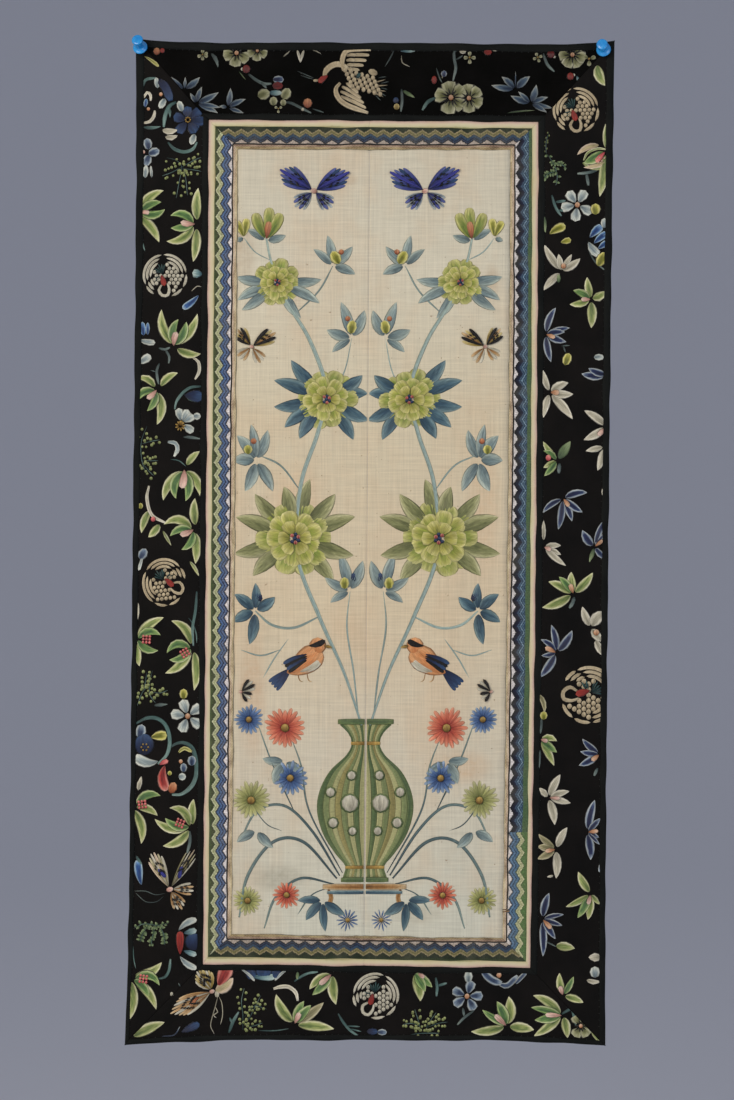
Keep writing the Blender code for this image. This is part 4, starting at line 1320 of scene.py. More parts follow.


# What each border strip shows, placed in millimetres. A lily's row is its kind, place, heart
# and petals. A flower's row is its place and, for each dye, its petals' tips, widths and bends. A
# petal's row is its base, tip, width and bend, a stem's its width and points, and a dot's its place,
# radius, stretch and turn. A petal without a bend is straight.

LEFT = {
    "lilies": (
        ("green", -171, -122, (0, 9), ((41, 25, 3), (-53, 26, 2)), ((25, 19, 2), (8, 20, -3))),
        ("green", -128, -130, (172, 12), ((88, 26, 1), (264, 27, 1), (209, 25, 4)),
         ((162, 20, -4), (188, 19, 1))),
        ("green", -145, -219, (78, 12), ((107, 29, 3), (55, 30, -3), (-12, 20, -2)),
         ((80, 21, 3), (64, 21, -2))),
        ("green", -156, -248, (222, 11), ((38, 18, 2), (268, 26, 3), (155, 17, -3)),
         ((214, 19, -4), (244, 18, 2))),
        ("green", -137, -305, (262, 15), ((237, 28, -3), (299, 23, 3), (47, 16, 1)),
         ((255, 23, -4), (272, 24, 3))),
        ("green", -129, -349, (200, 12), ((172, 23, -5), (91, 22, 1), (270, 25, 1)),
         ((196, 19, -3), (236, 18, 3))),
        ("coral", -173, -428, (-3, 9), ((36, 26, 2), (-80, 20, 0)), ((8, 19, 4), (-26, 19, -3))),
        ("coral", -130, -434, (212, 8), ((131, 25, -4), (222, 28, 3), (270, 31, 2)),
         ((192, 20, -5), (207, 20, 3))),
        ("coral", -174, -548, (8, 7), ((-22, 19, 2), (-78, 28, 3)), ((20, 21, 4),)),
        ("coral", -131, -564, (158, 10), ((88, 21, 1), (139, 22, -5), (167, 28, 4), (211, 25, 3)),
         ((160, 21, 3),)),
        ("coral", -175, -671, (-8, 9), ((26, 24, -3), (-52, 29, 3), (-92, 30, 2)),
         ((-16, 21, 5), (-48, 19, 2))),
    ),
    "flowers": (
        (-134.5, -55, {"navy": (
            (-135.4, -45, 8), (-145.1, -52.2, 8), (-142.2, -64.2, 8), (-129, -64.5, 8), (-125.3, -47.3, 8),
            (-122.5, -56, 8), (-126.8, -61.4, 8),
        )}),
    ),
    "petals": {
        "lime": (
            (-155, -346, -163, -355, 6.4, 0.6), (-162, -336, -168, -352, 6, -1.2),
            (-152.5, -350.5, -146.5, -361, 2.6), (-133, -372.5, -126.5, -383, 3, 0.6),
        ),
        "cream": (
            (-153, -62, -142, -62, 5, -1.2), (-151, -67, -142, -66, 4.4, -1.2),
            (-170, -180, -168, -187, 1.6), (-170.5, -402, -170.5, -414, 2.2),
            (-170.5, -537, -168, -527, 3.8),
        ),
        "yellow": ((-166, -9, -155.5, -16.5, 2.8, 0.5), (-161, -499, -149.5, -497.5, 7.8, 0.6)),
        "teal": (
            (-149, -45, -147.5, -53, 2.6, 0.6), (-167, -60, -154, -59.5, 2.6, -0.8),
            (-169.5, -138, -165.5, -149, 2), (-172, -584, -167.5, -591, 2.4),
        ),
        "grey": ((-138, -283, -125, -284.5, 2.4, 0.4), (-159, -476, -149, -475, 2.6)),
        "azure": ((-127, -181, -138.5, -190.5, 5.4, 0.8), (-168, -605, -170.5, -587, 6.6, 0.6)),
        "fan": (
            (-124, -166, -131.5, -165, 7), (-137.5, -639.5, -128, -637, 5), (-137.5, -652, -128, -655, 4.6),
        ),
        "white": (
            (-171, -230, -161.5, -224, 6.5, -0.5), (-170, -213, -158, -215, 5, -0.6),
            (-167, -368, -170, -379, 2.6), (-156, -516, -173, -512, 8.5, 3),
            (-141, -637.5, -128, -629.5, 5.4, 1.8), (-140, -656, -128, -664.5, 5.2, -1.6),
        ),
        "navy": ((-137, -253, -124, -254, 9),), "rose": ((-151, -519, -149.5, -537, 8, -2.6),),
        "red": ((-140, -654.5, -140, -638, 6),), "coral": ((-155, -518.5, -148.5, -515.5, 4, 0.3),),
    },
    "stems": {
        "teal": (
            (3, (-143, -42), (-148, -45), (-151, -52), (-152, -60)),
            (2.6, (-149, -71), (-144, -76), (-137, -78), (-131, -76), (-128, -71)),
            (2.2, (-167, -31), (-165, -26), (-158, -24.5)),
            (2.3, (-125, -246.5), (-133, -247.5), (-139, -252), (-143, -258), (-144, -263)),
            (0.9, (-137, -252), (-134, -256), (-128, -258)),
            (1.5, (-147, -299), (-141, -300), (-136, -304)),
            (2.2, (-128, -394), (-129, -408), (-131, -420), (-130.5, -433)),
            (1.8, (-134, -413), (-131, -417), (-128.5, -424), (-128, -431)),
            (3, (-172, -489), (-164, -485), (-156, -485.5), (-150, -491), (-147.5, -501), (-149.5, -511),
             (-156, -518)),
            (3.3, (-147.5, -506), (-142, -503), (-136, -503), (-131, -507), (-128.5, -516), (-128.5, -526),
             (-132, -534), (-139, -539.5), (-146, -540)),
            (2.2, (-156, -672), (-151, -671), (-148, -666), (-147, -658)),
            (1.4, (-174, -649), (-173.5, -658), (-172, -665)),
        ),
        "navy": ((6.4, (-156, -26), (-151, -31), (-148, -38), (-147, -41)),),
        "cream": (
            (2.3, (-166.5, -39), (-164, -35), (-161.5, -37), (-161.5, -41)),
            (2.6, (-167, -57), (-162, -56), (-159, -52), (-158.5, -48)),
            (2.6, (-131, -226), (-127, -229), (-126.5, -236), (-129.5, -241.5)),
            (2.6, (-162.5, -318), (-164, -327), (-160.5, -339), (-150, -345)),
        ),
        "crane": ((1.1, (-132, -178), (-128, -174.5), (-125, -175)),),
        "grey": (
            (1.9, (-155.5, -219), (-151, -220), (-147.5, -218.5)),
            (1.9, (-151, -220), (-148, -225), (-148.5, -230)),
            (2, (-155, -230), (-157, -235), (-156.5, -241), (-155.5, -245)),
            (1.6, (-161.5, -235), (-157.5, -236)), (2.4, (-133, -566), (-133, -574), (-135, -582)),
            (0.9, (-151, -611), (-158, -612), (-165, -609.5), (-173, -609.5)),
            (0.9, (-152, -613), (-157, -617), (-165, -617), (-172, -611)),
        ),
        "white": ((3.2, (-149, -286.5), (-143.5, -287.5), (-142, -292), (-144.5, -297)),),
        "yellow": ((3, (-141, -509.5), (-137, -506.5), (-131.5, -509)),),
    },
    "dots": {
        "gold": tuple((*polar((-134.5, -55), turn, 1.7), 0.6) for turn in range(0, 360, 45))
        + tuple((*polar((-165.5, -506), turn, 2.4), 0.7) for turn in range(0, 360, 60))
        + tuple((*polar((-140, -275), turn, 2.4), 0.6, 2.2, turn) for turn in range(0, 360, 40)),
        "azure": ((-165, -42.5, 1.7, 1.8, 80), (-167, -205, 2.5, 2, 95), (-163.5, -205, 1.6, 2.8, 90)),
        "crane": ((-146, -683, 1.2, 1.3),),
        "peach": ((-154, -36.5, 1.5), (-163, -47, 1.3), (-139.5, -516, 1.6)), "pink": ((-166.5, -78, 1.3),),
        "coral": ((-159.5, -342, 1.9),),
        "steel": (
            (-163.5, -72, 3.6, 1.15, 100), (-159, -78, 3.6, 1.15, 20), (-164, -84, 3.6, 1.15, 250),
            (-167, -367, 3.6, 1.2, 60), (-168.5, -494.5, 4.2, 1.2, 80), (-131.5, -515.5, 3.6),
            (-137.5, -520.5, 2.7, 1.2),
        ),
        "white": (
            (-140, -45, 2.7, 1.5, 110), (-131, -69, 2.7, 1.5, 250), (-153, -43, 2.7, 1.5, 240),
            (-157, -28, 2.1, 1.9, 100), (-165, -92, 2.3, 2, 85), (-161, -92, 1.2, 3.6, 95),
            (-128, -268, 3, 0.9, 0), (-138.5, -527, 3, 0.9, 0),
        ),
        "navy": ((-166, -504, 7.4, 1.05), (-130.5, -645.5, 6.4)),
        "yellow": ((-168.5, -332.5, 1.8, 1.2), (-137.5, -467.5, 3.3, 1.1), (-147.5, -524.5, 1.7)),
        "orange": ((-145.5, -535, 3.4, 1.25, 70),), "grey": ((-140.5, -676.5, 0.8, 1.8, 120),),
    },
    "sprays": (
        ("berry", 1.15, 3.4, 7, ((-150, -82), (-143, -84), (-139, -89), (-141, -100), (-143, -111)),
         ((-138, -89), (-136, -98), (-135, -109)), ((-139, -89), (-130, -84), (-125, -82)),
         ((-139, -89), (-147, -93), (-153, -95)), ((-138, -90), (-130, -91), (-125, -92))),
        ("berry", 1.15, 3.2, 7, ((-164, -275), (-168, -286), (-168, -298), (-165, -309)),
         ((-168, -288), (-161, -286), (-155, -285)), ((-167, -300), (-161, -300), (-156, -300)),
         ((-167, -302), (-163, -307), (-159, -311))),
        ("berry", 1.3, 3.0, 6, ((-160, -451), (-162, -459), (-162, -468), (-158, -474)),
         ((-162, -462), (-167, -466), (-171, -476)), ((-162, -466), (-155, -467), (-149, -465)),
         ((-164, -452), (-165, -458), (-166, -465))),
        ("leaflet", 1.5, 3.6, 9, ((-148, -632), (-156, -634), (-166, -633), (-173, -636)),
         ((-158, -635), (-160, -642), (-161, -649)), ((-155, -634), (-152, -640), (-151, -648)),
         ((-163, -634), (-167, -640), (-169, -646))),
    ),
    "blossoms": (
        ("white", -139.5, -273, 11, (100, 30, 325, 62), "gold", 0, 0.6),
        ("white", -134.5, -483.5, 12.5, (108, 38, -38, -112, 172), "peach"),
    ),
    "roundels": ((-151, -167, 16.6, 0), (-151.5, -387.5, 16.4, 247, "beige", -1, 1.1)),
    "butterflies": (
        (-147.5, -608, 2,
         ((("crane", "drab", "blush"), 116, 30, 12.5, 6), (("crane", "drab", "blush"), 58, 34, 9, 5),
          (("brown", "crane"), -58, 17, 11, 5), (("brown", "crane"), 2, 18, 9, 4))),
    ),
}

TOP = {
    "flowers": (
        (-137, -33, {"star": ((-147.5, -23.5, 4.5, 0.6), (-126, -24, 5.2, -0.6), (-136.5, -24, 2.6))}),
        (-128.5, -43, {"star": (
            (-133, -35.5, 3.4), (-124.5, -31, 4.4, 0.5), (-112.5, -35, 5.2, -0.6), (-113, -50, 4.8, 0.6),
            (-111, -46, 4),
        )}),
        (-106, -46, {"star": (
            (-104, -32, 4.8, -0.5), (-93, -40, 4.4, 0.5), (-94.5, -50, 3.4), (-112, -45, 3),
        )}),
        (101, -33, {"star": (
            (83.5, -30, 5.2, 0.6), (91, -24, 5.2, -0.6), (111.5, -23.5, 6, 0.6), (101, -20, 1.6),
        )}),
        (112, -43, {"star": (
            (97.5, -37.5, 5.2, 0.5), (103, -34.5, 3.8), (116, -29.5, 5.6, -0.6), (124.5, -38.5, 4.4, 0.5),
            (128, -46.5, 3.8), (123.5, -49.5, 4.2, 0.4),
        )}),
    ),
    "petals": {
        "grey": ((-118, -7, -113, -17, 3, 1.2), (14, -4, 7, -17, 1.6, 0.5)),
        "leaflet": ((-98, -20, -93, -26, 1.6), (95, -50, 115, -48, 1.8, 0.4), (20, -34, 28.5, -39, 3)),
        "cream": (
            (-66, -10, -61, -5.5, 1.6), (-45.5, -5, -38.5, -8, 1.5, 0.5), (-56, -5, -53.7, -14, 2.4, 0.3),
            (-51, -5, -53.5, -14, 2.4, -0.3), (84, -5, 87.5, -5.5, 1.8),
        ),
        "fan": ((18, -6, 29.5, -4.5, 4), (145, -23, 146.5, -27, 2.4)),
    },
    "stems": {
        "grey": (
            (2.4, (-91, -22), (-86, -26), (-80, -29), (-74.5, -29)), (2, (-82, -28), (-78, -32)),
            (2, (-66, -42), (-60, -43), (-52, -47), (-46, -50)), (1.6, (-45, -47), (-37, -49.5)),
            (2.2, (19, -33), (19.5, -41), (18.5, -49)), (1.8, (44, -18), (46.5, -25), (48, -28)),
            (2.2, (61, -5), (57, -6), (57, -12), (58, -18), (56, -27)), (1.8, (58, -12), (63, -9)),
            (2.2, (121, -7), (124, -15), (129, -20)),
        ),
        "teal": ((2.6, (44, -39), (38, -42), (34, -48)),),
        "cream": ((1.5, (19, -9), (19.5, -14), (25, -17)),),
    },
    "dots": {
        "orange": ((-157, -5.5, 2.7), (-48.5, -43, 3.5)),
        "red": ((-153, -5, 1.8), (42.5, -26.5, 2.1, 1.4), (81, -6.5, 2.4, 1.2, 0), (140.5, -23.5, 2.7)),
        "dark_red": ((-92.5, -18.5, 3), (-70, -30.5, 3, 1.3, 0), (126.5, -7.5, 3)),
        "blue": ((-69.5, -26, 3, 1.3, 0), (49.5, -22, 2.3)),
        "cream": (
            (-95.5, -18.5, 1.2), (-52, -47.5, 1.2), (48.3, -24.5, 0.8), (63, -6, 2, 1.2, 0),
            (143, -22.5, 1.1), (129, -9.5, 1),
        ),
        "navy": ((15, -41, 2.3),), "ochre": ((15.5, -45.5, 2.3),), "beige": ((-1.5, -21, 2.5, 1.4, 160),),
        "plum": (
            (-80, -36.5, 4.2, 1.1, 20), (-64, -36.2, 4, 1.1, 60), (-73, -41.5, 3.2), (-66, -42.5, 2.4),
        ),
        "fan": ((-71.5, -35.6, 2.2, 2.1, 0),),
    },
    "blossoms": (
        ("plum", -124, -8, 4, (200, 270, 340, 90, 20), "gold"),
        ("plum", -99.5, -7, 10, (190, 262, 330), "peach", 10),
        ("plum", -84.5, -5.5, 7.5, (195, 265, 335), "peach", 8),
        ("plum", -69.5, -47, 3, (30, 150, 270), "gold"),
        ("plum", 68, -10.5, 4.4, (0, 90, 180, 270), "gold"),
        ("plum", 54.5, -39, 12, (100, 36, -37, -103, 168), "peach", 14),
        ("plum", 67.5, -39.5, 10.5, (98, 40, -23, -90), "peach", 10),
        ("plum", 117, -10, 3.6, (20, 110, 200, 290), "gold"),
        ("plum", 142, -8, 10, (180, 240, 300, 345, 60), "peach", 12),
        ("plum", 154, -11, 5, (20, 150, 270), "gold"),
    ),
}

RIGHT = {
    "flowers": (
        (166, -77, {
            "lime": ((167, -55.5, 4.8, 0.6), (161.5, -110, 8, 1)), "coral": ((158.5, -85.5, 4.5),),
            "green": ((150, -86, 8, 1),),
        }),
        (134, -164, {"cream": (
            (121.5, -144.5, 6, 0.8), (132, -151.5, 5.5), (141.5, -151.5, 4.5), (147.5, -154.5, 6, -0.8),
            (121, -177.5, 6, -0.6),
        )}),
        (155.5, -184, {
            "lime": (
                (152.5, -168, 6, 0.6), (140, -187.5, 6, 1.2), (155.5, -204.5, 7.5, 0.6), (166, -178, 7, -1),
            ),
            "green": ((142.5, -177.5, 6, -1),), "pink": ((148, -184, 3.5),),
        }),
        (122.5, -209, {
            "blue": (
                (130, -190, 6, 1.5), (140, -204.5, 4.5, 0.8), (136.5, -207.5, 5.4, 0.8),
                (137.5, -214.5, 6, -0.8), (126.5, -229, 6, -0.6),
            ),
            "peach": ((129.5, -211.5, 3.4),),
        }),
        (167, -238.5, {"blue": ((153.5, -233.5, 6, 0.8), (148.5, -237.5, 7, 1))}),
        (125.5, -251, {
            "cream": (
                (120.5, -234.5, 5, 0.6), (139, -244, 7, 1.2), (142.5, -252, 6.5, -0.8), (142, -270, 7, 0.6),
                (121, -269, 6, -0.6),
            ),
            "peach": ((132.5, -251, 4.5),),
        }),
        (167, -275.5, {
            "cream": ((150.5, -264, 6.5, -0.8), (150, -285, 6.5, 0.8)), "pink": ((160, -282, 4),),
        }),
        (165, -290, {"cream": ((151.5, -293, 5), (160, -307, 6.5, 0.6))}),
        (131, -300, {
            "lime": ((120.5, -286, 4.6, 0.6), (121, -305, 5)),
            "green": ((121, -293, 4.4, -1.6), (121.5, -311, 5.4, 0.5)), "leaflet": ((140.5, -286, 7),),
        }),
        (135, -327, {
            "blue": (
                (120.5, -337.5, 5, -1.5), (152.5, -323, 6, 1.5), (149, -337, 6, -0.6),
                (141.5, -343.5, 6, 0.6), (131.5, -349.5, 6, 0.6),
            ),
            "peach": ((139.5, -333, 3.5),),
        }),
        (121, -362, {
            "cream": ((133.5, -361, 5, 0.6), (133.5, -367.5, 5), (137, -375.5, 5, -0.5)),
            "pink": ((126.5, -364, 3.6),),
        }),
        (157.5, -362, {
            "blue": ((165.5, -342, 5, 0.6), (149, -350, 7, 1), (165, -352, 3.2), (165, -371, 5)),
            "peach": ((164, -357, 3),), "leaflet": ((154, -373, 3), (155.5, -371, 3)),
        }),
        (142.5, -396, {
            "lime": (
                (124.5, -387, 7, -1.2), (120, -405.5, 7.4, 1.6), (141, -380, 7, 0.8),
                (156.5, -380.5, 7, -1),
            ),
            "green": ((132, -383.5, 6, -0.8),), "peach": ((140, -388.5, 4),),
        }),
        (155, -420, {"cream": ((149, -405, 6.5, 0.6), (165, -408.5, 9, 1.2), (164, -430, 7, -0.6))}),
        (158, -428, {"cream": ((163.5, -440, 6),)}),
        (130.5, -438, {
            "blue": (
                (126.5, -418, 6, -1), (119, -428.5, 5, -1.4), (119.5, -440, 4.4, 0.6),
                (141.5, -422, 7, -1.2), (118, -455.5, 7, 1),
            ),
            "peach": ((122, -434, 4),),
        }),
        (118.5, -500, {
            "lime": ((130.5, -501.5, 5.5, 2), (128.5, -519, 6, 0.6)), "green": ((130.5, -509.5, 6),),
            "pink": ((124, -501.5, 3.5),),
        }),
        (161.5, -511, {
            "blue": ((149, -500, 5.5, 0.8), (147.5, -509, 5, 0.5), (146.5, -519, 6, 0.8)),
            "peach": ((155.5, -515.5, 4),),
        }),
        (124.5, -542, {
            "cream": (
                (133, -525.5, 6.5, 0.6), (139.5, -537.5, 5.5, 0.6), (140.5, -546, 5.5), (118, -535, 5),
                (129, -561.5, 7, 0.8),
            ),
            "pink": ((133, -542.5, 3),),
        }),
        (152.5, -567, {
            "blue": (
                (158, -544, 7, 0.8), (162, -557, 5), (161, -571, 4.4), (161.5, -576, 3.4),
                (155, -587, 7, 0.8),
            ),
            "peach": ((160.5, -566, 3.5),),
        }),
        (130, -579, {
            "drab": ((117, -568, 5, 0.6), (116.5, -586, 6, 0.5), (116.5, -577, 6.5)),
            "cream": ((138, -563.5, 6.5, 0.8), (130, -600, 7, 0.8)), "peach": ((122, -580.5, 3.5),),
        }),
        (135, -684, {
            "lime": ((132.5, -668, 6, 1), (149.5, -689, 6, 0.6)), "green": ((142.5, -670.5, 5, -0.5),),
            "pink": ((132.5, -677, 4),),
        }),
        (155, -611.5, {
            "lime": (
                (146, -595.5, 6.5, 0.8), (137, -620.5, 5, 0.8), (153, -630, 6.5, 0.6), (161.5, -619, 4),
            ),
            "green": ((145.5, -628.5, 6.5, 0.5),), "pink": ((153, -619, 3.5),),
        }),
        (120, -629, {
            "blue": (
                (125, -610.5, 6.5, 0.8), (135.5, -626, 4, 0.6), (134.5, -634, 4.5), (129.5, -643.5, 5.5),
                (120.5, -656, 6, 0.6),
            ),
            "peach": ((126.5, -636, 4),),
        }),
    ),
    "petals": {
        "blush": ((161, -73, 145.5, -80, 5, -2), (167, -84, 150, -89, 4, 1.5)),
        "lime": ((160, -15.5, 165.5, -30, 8, -1.5), (130, -648.5, 143.5, -650.5, 7, 0.5)),
        "leaflet": ((121.5, -124, 122.5, -136, 3),),
        "yellow": ((125.5, -137, 137, -131, 7, 0.8), (133.5, -143, 141, -141, 5)),
        "azure": (
            (154.5, -139.5, 163.5, -131, 6.5, 0.6), (157.5, -143.5, 167, -136, 6, 0.4),
            (160.5, -147.5, 167, -142.5, 5),
        ),
        "white": ((153.5, -142.5, 161.5, -152, 7, -1.2),),
        "cream": (
            (121, -357, 121, -343, 3.5), (128, -598, 123.5, -599, 2), (162, -657, 153.5, -657, 7),
            (152, -673, 162, -674, 4, -1),
        ),
        "drab": ((117.5, -468, 121.5, -481, 4, 1.6),), "steel": ((161.5, -590, 161.5, -596, 2.4),),
    },
    "stems": {
        "grey": (
            (2.4, (160, -91), (152, -93), (145.5, -93.5)), (2.4, (152, -93), (153.5, -102)),
            (1.8, (154, -150), (158.5, -157), (163, -161), (166, -163.5)),
            (1.8, (134, -217.5), (140, -217)), (1.8, (135, -217), (137, -222)),
            (2.8, (132.5, -302), (132, -309)), (2.8, (143, -398), (142, -402), (139.5, -406)),
            (2.4, (119.5, -485), (118.5, -496)), (2, (118.5, -508), (117.5, -521)),
            (2.4, (160, -521), (157.5, -526.5)), (1.5, (122, -645), (130, -649)),
        ),
        "teal": (
            (2.2, (127, -109), (130, -118), (134, -124)), (2, (130, -114), (137, -113)),
            (2, (132, -120), (137, -120)),
        ),
        "lime": (
            (2.4, (149.5, -85.5), (153, -88.3), (159, -90), (166.5, -88.5)),
            (2, (150, -84), (153, -78.5), (160, -75.5), (166.5, -76)),
        ),
    },
    "dots": {
        "yellow": ((158.5, -119, 4), (163, -155, 4, 1.4, 60), (138, -227, 3.5, 1.3, 70), (121, -483, 3)),
        "peach": ((135.5, -160, 2), (159, -423.5, 2.3)), "leaflet": ((132, -169, 1.5, 2),),
        "coral": ((124.5, -298, 2.1, 1.1),),
        "white": ((165, -129, 3, 1.2), (161, -225.5, 2.6, 1.4, 0), (158, -667.5, 4)),
        "pink": tuple((x, z, 0.7) for x, z in ((159, -84), (161.5, -82), (163.5, -80), (160.5, -85.5),
                                               (165, -82.5), (163, -84.5))),
        "cream": ((164.3, -322.5, 1.6, 1.9),),
    },
    "sprays": (
        ("berry", 0.95, 1.5, 6, ((125, -64), (123, -71), (123, -79))),
        ("leaflet", 1.35, 3.6, 7, ((124, -80), (129, -88), (131, -96), (130, -102)),
         ((127, -86), (134, -87), (138, -90)), ((130, -92), (124, -94), (121, -98))),
    ),
    "blossoms": (("white", 145.5, -116, 12, (126, 61, 190, -28, -98), "peach"),),
    "roundels": ((144.5, -48, 17.3, 3, "beige"), (153.5, -468.5, 21.5, -90, "beige")),
}

BOTTOM = {
    "flowers": (
        (-58, -705, {
            "lime": ((-71, -683.5, 8.5, 2.4), (-29.5, -708, 8, 0.8)),
            "green": ((-51, -688, 7, 1.2), (-46, -691, 7, 0.8)), "pink": ((-54, -696, 4.5),),
            "drab": ((-37, -689, 7.4, -0.8),),
        }),
        (-30.5, -668, {
            "lime": ((-47, -679.5, 7, -2), (-28, -690.5, 8, -1.2)), "green": ((-45, -683.5, 7.5, 0.8),),
            "pink": ((-40, -676, 4.5),),
        }),
        (28, -667, {"lime": ((32.5, -688, 9, 1.2),), "green": ((36, -681, 7, 0.5), (41, -678, 6, 0.5))}),
        (95, -706.5, {
            "lime": ((69, -710, 7.5, 1.4), (96, -685, 9, -1.5), (114, -708.5, 8, 0.6)),
            "green": ((77, -694.5, 5.5, 0.6), (87.5, -688.5, 8, -1)), "pink": ((86, -698, 4.5),),
        }),
        (135, -698, {
            "green": ((112, -692.5, 6, -0.8), (114.5, -701.5, 7, 0.5)),
            "lime": ((113.5, -684, 7.5, -2.2), (114, -713, 7, 0.6), (138, -714, 7, 0.5)),
            "pink": ((122, -697.5, 4),),
        }),
    ),
    "petals": {
        "lime": ((-173, -713, -151, -703, 8, 1), (155, -708, 162, -718, 4)),
        "navy": (
            (-139, -710, -126, -704, 6), (-92, -661, -87.5, -672.5, 8), (-80, -658, -80, -671, 12),
            (-68.5, -661, -72.5, -672, 8),
        ),
        "leaflet": ((-55.5, -667, -56, -673, 2.6),), "fan": ((-88.5, -671, -71.5, -671, 5.4),),
        "white": ((-97, -665, -86.5, -674, 2.4, 1), (-62, -665, -72, -673.5, 2.4, -0.8)),
        "blush": ((-114.5, -681, -102, -671.5, 9.5, -1.2),), "rose": ((-112.5, -677, -105, -662.5, 11),),
        "pink": ((31, -668, 35.5, -671, 3.5),),
    },
    "stems": {
        "steel": (
            (1.6, (-153, -713), (-144, -712), (-140, -706)), (6, (77, -667), (84, -673), (91, -675.5)),
            (4.4, (89, -676), (95, -677), (102.5, -670)), (3.4, (101, -675.5), (105, -671), (109, -667)),
        ),
        "cream": (
            (3, (-73, -679.5), (-68, -678), (-62, -678), (-57, -682), (-55.5, -688)),
            (1.1, (-113, -685), (-115, -693), (-117, -700), (-118, -706), (-115.5, -711.5)),
            (1.1, (-112, -685), (-110, -690), (-109.5, -698), (-111, -705)),
            (1.2, (-115, -692), (-113, -696), (-116, -698), (-114, -700)),
        ),
        "teal": (
            (2.4, (-105, -711), (-102, -703), (-98, -696)), (2, (-104.5, -700), (-102.5, -704)),
            (1.6, (-84, -709.5), (-72, -709.5), (-62, -708)),
            (2, (-58, -674), (-54, -671), (-48, -668), (-41, -667)),
            (2, (-26.5, -697), (-23, -703), (-18, -709), (-11, -714)), (1.8, (-20, -706), (-11, -706.5)),
            (1.8, (-18, -708), (-10, -710)), (2.2, (43.5, -671), (44.5, -678), (44, -684.5)),
            (2, (45, -677), (51.5, -675)), (2.4, (134, -697), (139, -694), (141.5, -694), (144, -705)),
        ),
        "grey": ((2, (63, -693), (64, -699)), (2, (71, -695), (64, -700), (59, -705))),
    },
    "dots": {
        "cream": ((-113.5, -683, 1.8, 1.4), (-145.5, -683, 1.1), (-140, -676, 1)),
        "navy": ((-2, -710, 2.5, 1.6, 0),), "steel": ((5, -710.5, 2.5, 1.4, 0),),
        "white": ((67, -670.5, 3.4, 1.3),), "peach": ((89, -669.5, 2),),
    },
    "sprays": (
        ("berry", 1.2, 3.2, 8, ((-95, -709), (-95, -698), (-96, -688), (-94, -679)),
         ((-94, -706), (-89, -698), (-82, -684)), ((-94, -700), (-87, -692), (-78, -694)),
         ((-93, -707), (-87, -706), (-81, -704))),
        ("berry", 1.2, 3.2, 8, ((33, -710), (31, -702), (28.5, -694)), ((36, -709), (39, -703), (44, -696)),
         ((26, -712), (34, -711), (46, -711)), ((37, -707), (45, -704), (52, -703)),
         ((32, -706), (26, -704), (20, -705))),
    ),
    "blossoms": (
        ("steel", 66, -684.5, 11.5, (155, 72, 0, -62, 215), "peach"),
        ("plum", 147.5, -705.5, 9, (240, 305, 60, 120, 0), "peach", 10),
    ),
    "roundels": ((0.5, -684.5, 17.3, -30),),
    "butterflies": (
        (-117, -681, 1.6,
         ((("ochre", "ochre", "crane"), 121, 19.5, 19, 9), (("brown", "brown", "crane"), 208, 34, 18, 9))),
    ),
}


def embroider_flying_crane(work):
    """A pale crane with spread wings, bent neck and red crown, flying to the left."""
    work.stem("beige", 4.4, ((-36.8, -25), (-35, -19.5), (-30, -15.8), (-24.5, -15.5), (-19, -18.5)),
              cross=True, layer=2)
    # Each wing's leading edge, and under it its feathers: base and tip, with a short one over each
    for edge, feathers in (
        (((-22.8, -20), (-23.5, -12), (-20.5, -6), (-13, -4.6), (-3, -5)),
         ((-21, -9, -4, -8.8), (-21, -12.5, -6, -12.6), (-21, -16, -8, -16.2), (-20, -19, -11, -19.5))),
        (((-25, -28.5), (-28.2, -33), (-26.5, -39), (-20, -44.5), (-5, -50)),
         ((-25, -38, -6.5, -46.6), (-25, -34.5, -8, -43), (-24, -31, -10, -39.5), (-21, -28.5, -12, -36))),
    ):
        for base_x, base_z, tip_x, tip_z in feathers:
            base, tip = np.array((base_x, base_z)), np.array((tip_x, tip_z))
            work.petal("beige", base, tip, 2.7, 0.4)
            work.petal("beige", base, base + 0.46 * (tip - base), 2.9, 0.4, form=ROUNDED, layer=2)
        work.stem("beige", 3.9, edge, cross=True, layer=3)
    for row in range(5):
        for k in range(6):
            place = (-21.5 + 4.0 * k + 1.3 * row, -19.5 - 1.1 * k - 2.9 * row)
            work.dot("beige", *place, 1.6, 1.15, layer=2)
    for start, end in (((-3, -29), (7.5, -26)), ((-2, -31), (9, -30)), ((-2, -33), (8, -34.5)),
                       ((-4, -34), (6, -38.5))):
        work.petal("beige", start, end, 1.8, form=SLENDER)
    for start, end in (((2, -25), (8, -24)), ((4, -29), (10, -27.5)), ((4, -32), (9, -33)),
                       ((3, -35), (8, -38)), ((0, -37), (4, -41)), ((-56, -20), (-44, -25)),
                       ((-54, -23), (-44, -26))):
        work.petal("grey", start, end, 1.1)
    work.petal("red", (-33.8, -23.5), (-40.5, -28.5), 4.4, -0.6)
    work.petal("beige", (-40.5, -26.8), (-44.5, -27), 2, layer=3)
    work.dot("crane_teal", -12, -23.5, 1.5, 1.5, 60, layer=5)


# The ivory bands carry a generic design of common motifs: a vase of flowers and songbirds, the same on
# both sides of the seam. Its places are distances from the seam, and heights. Its shapes' edges get a
# softer painted shade, as the ground is pale.

FIELD_EDGE_SHADE = 0.55

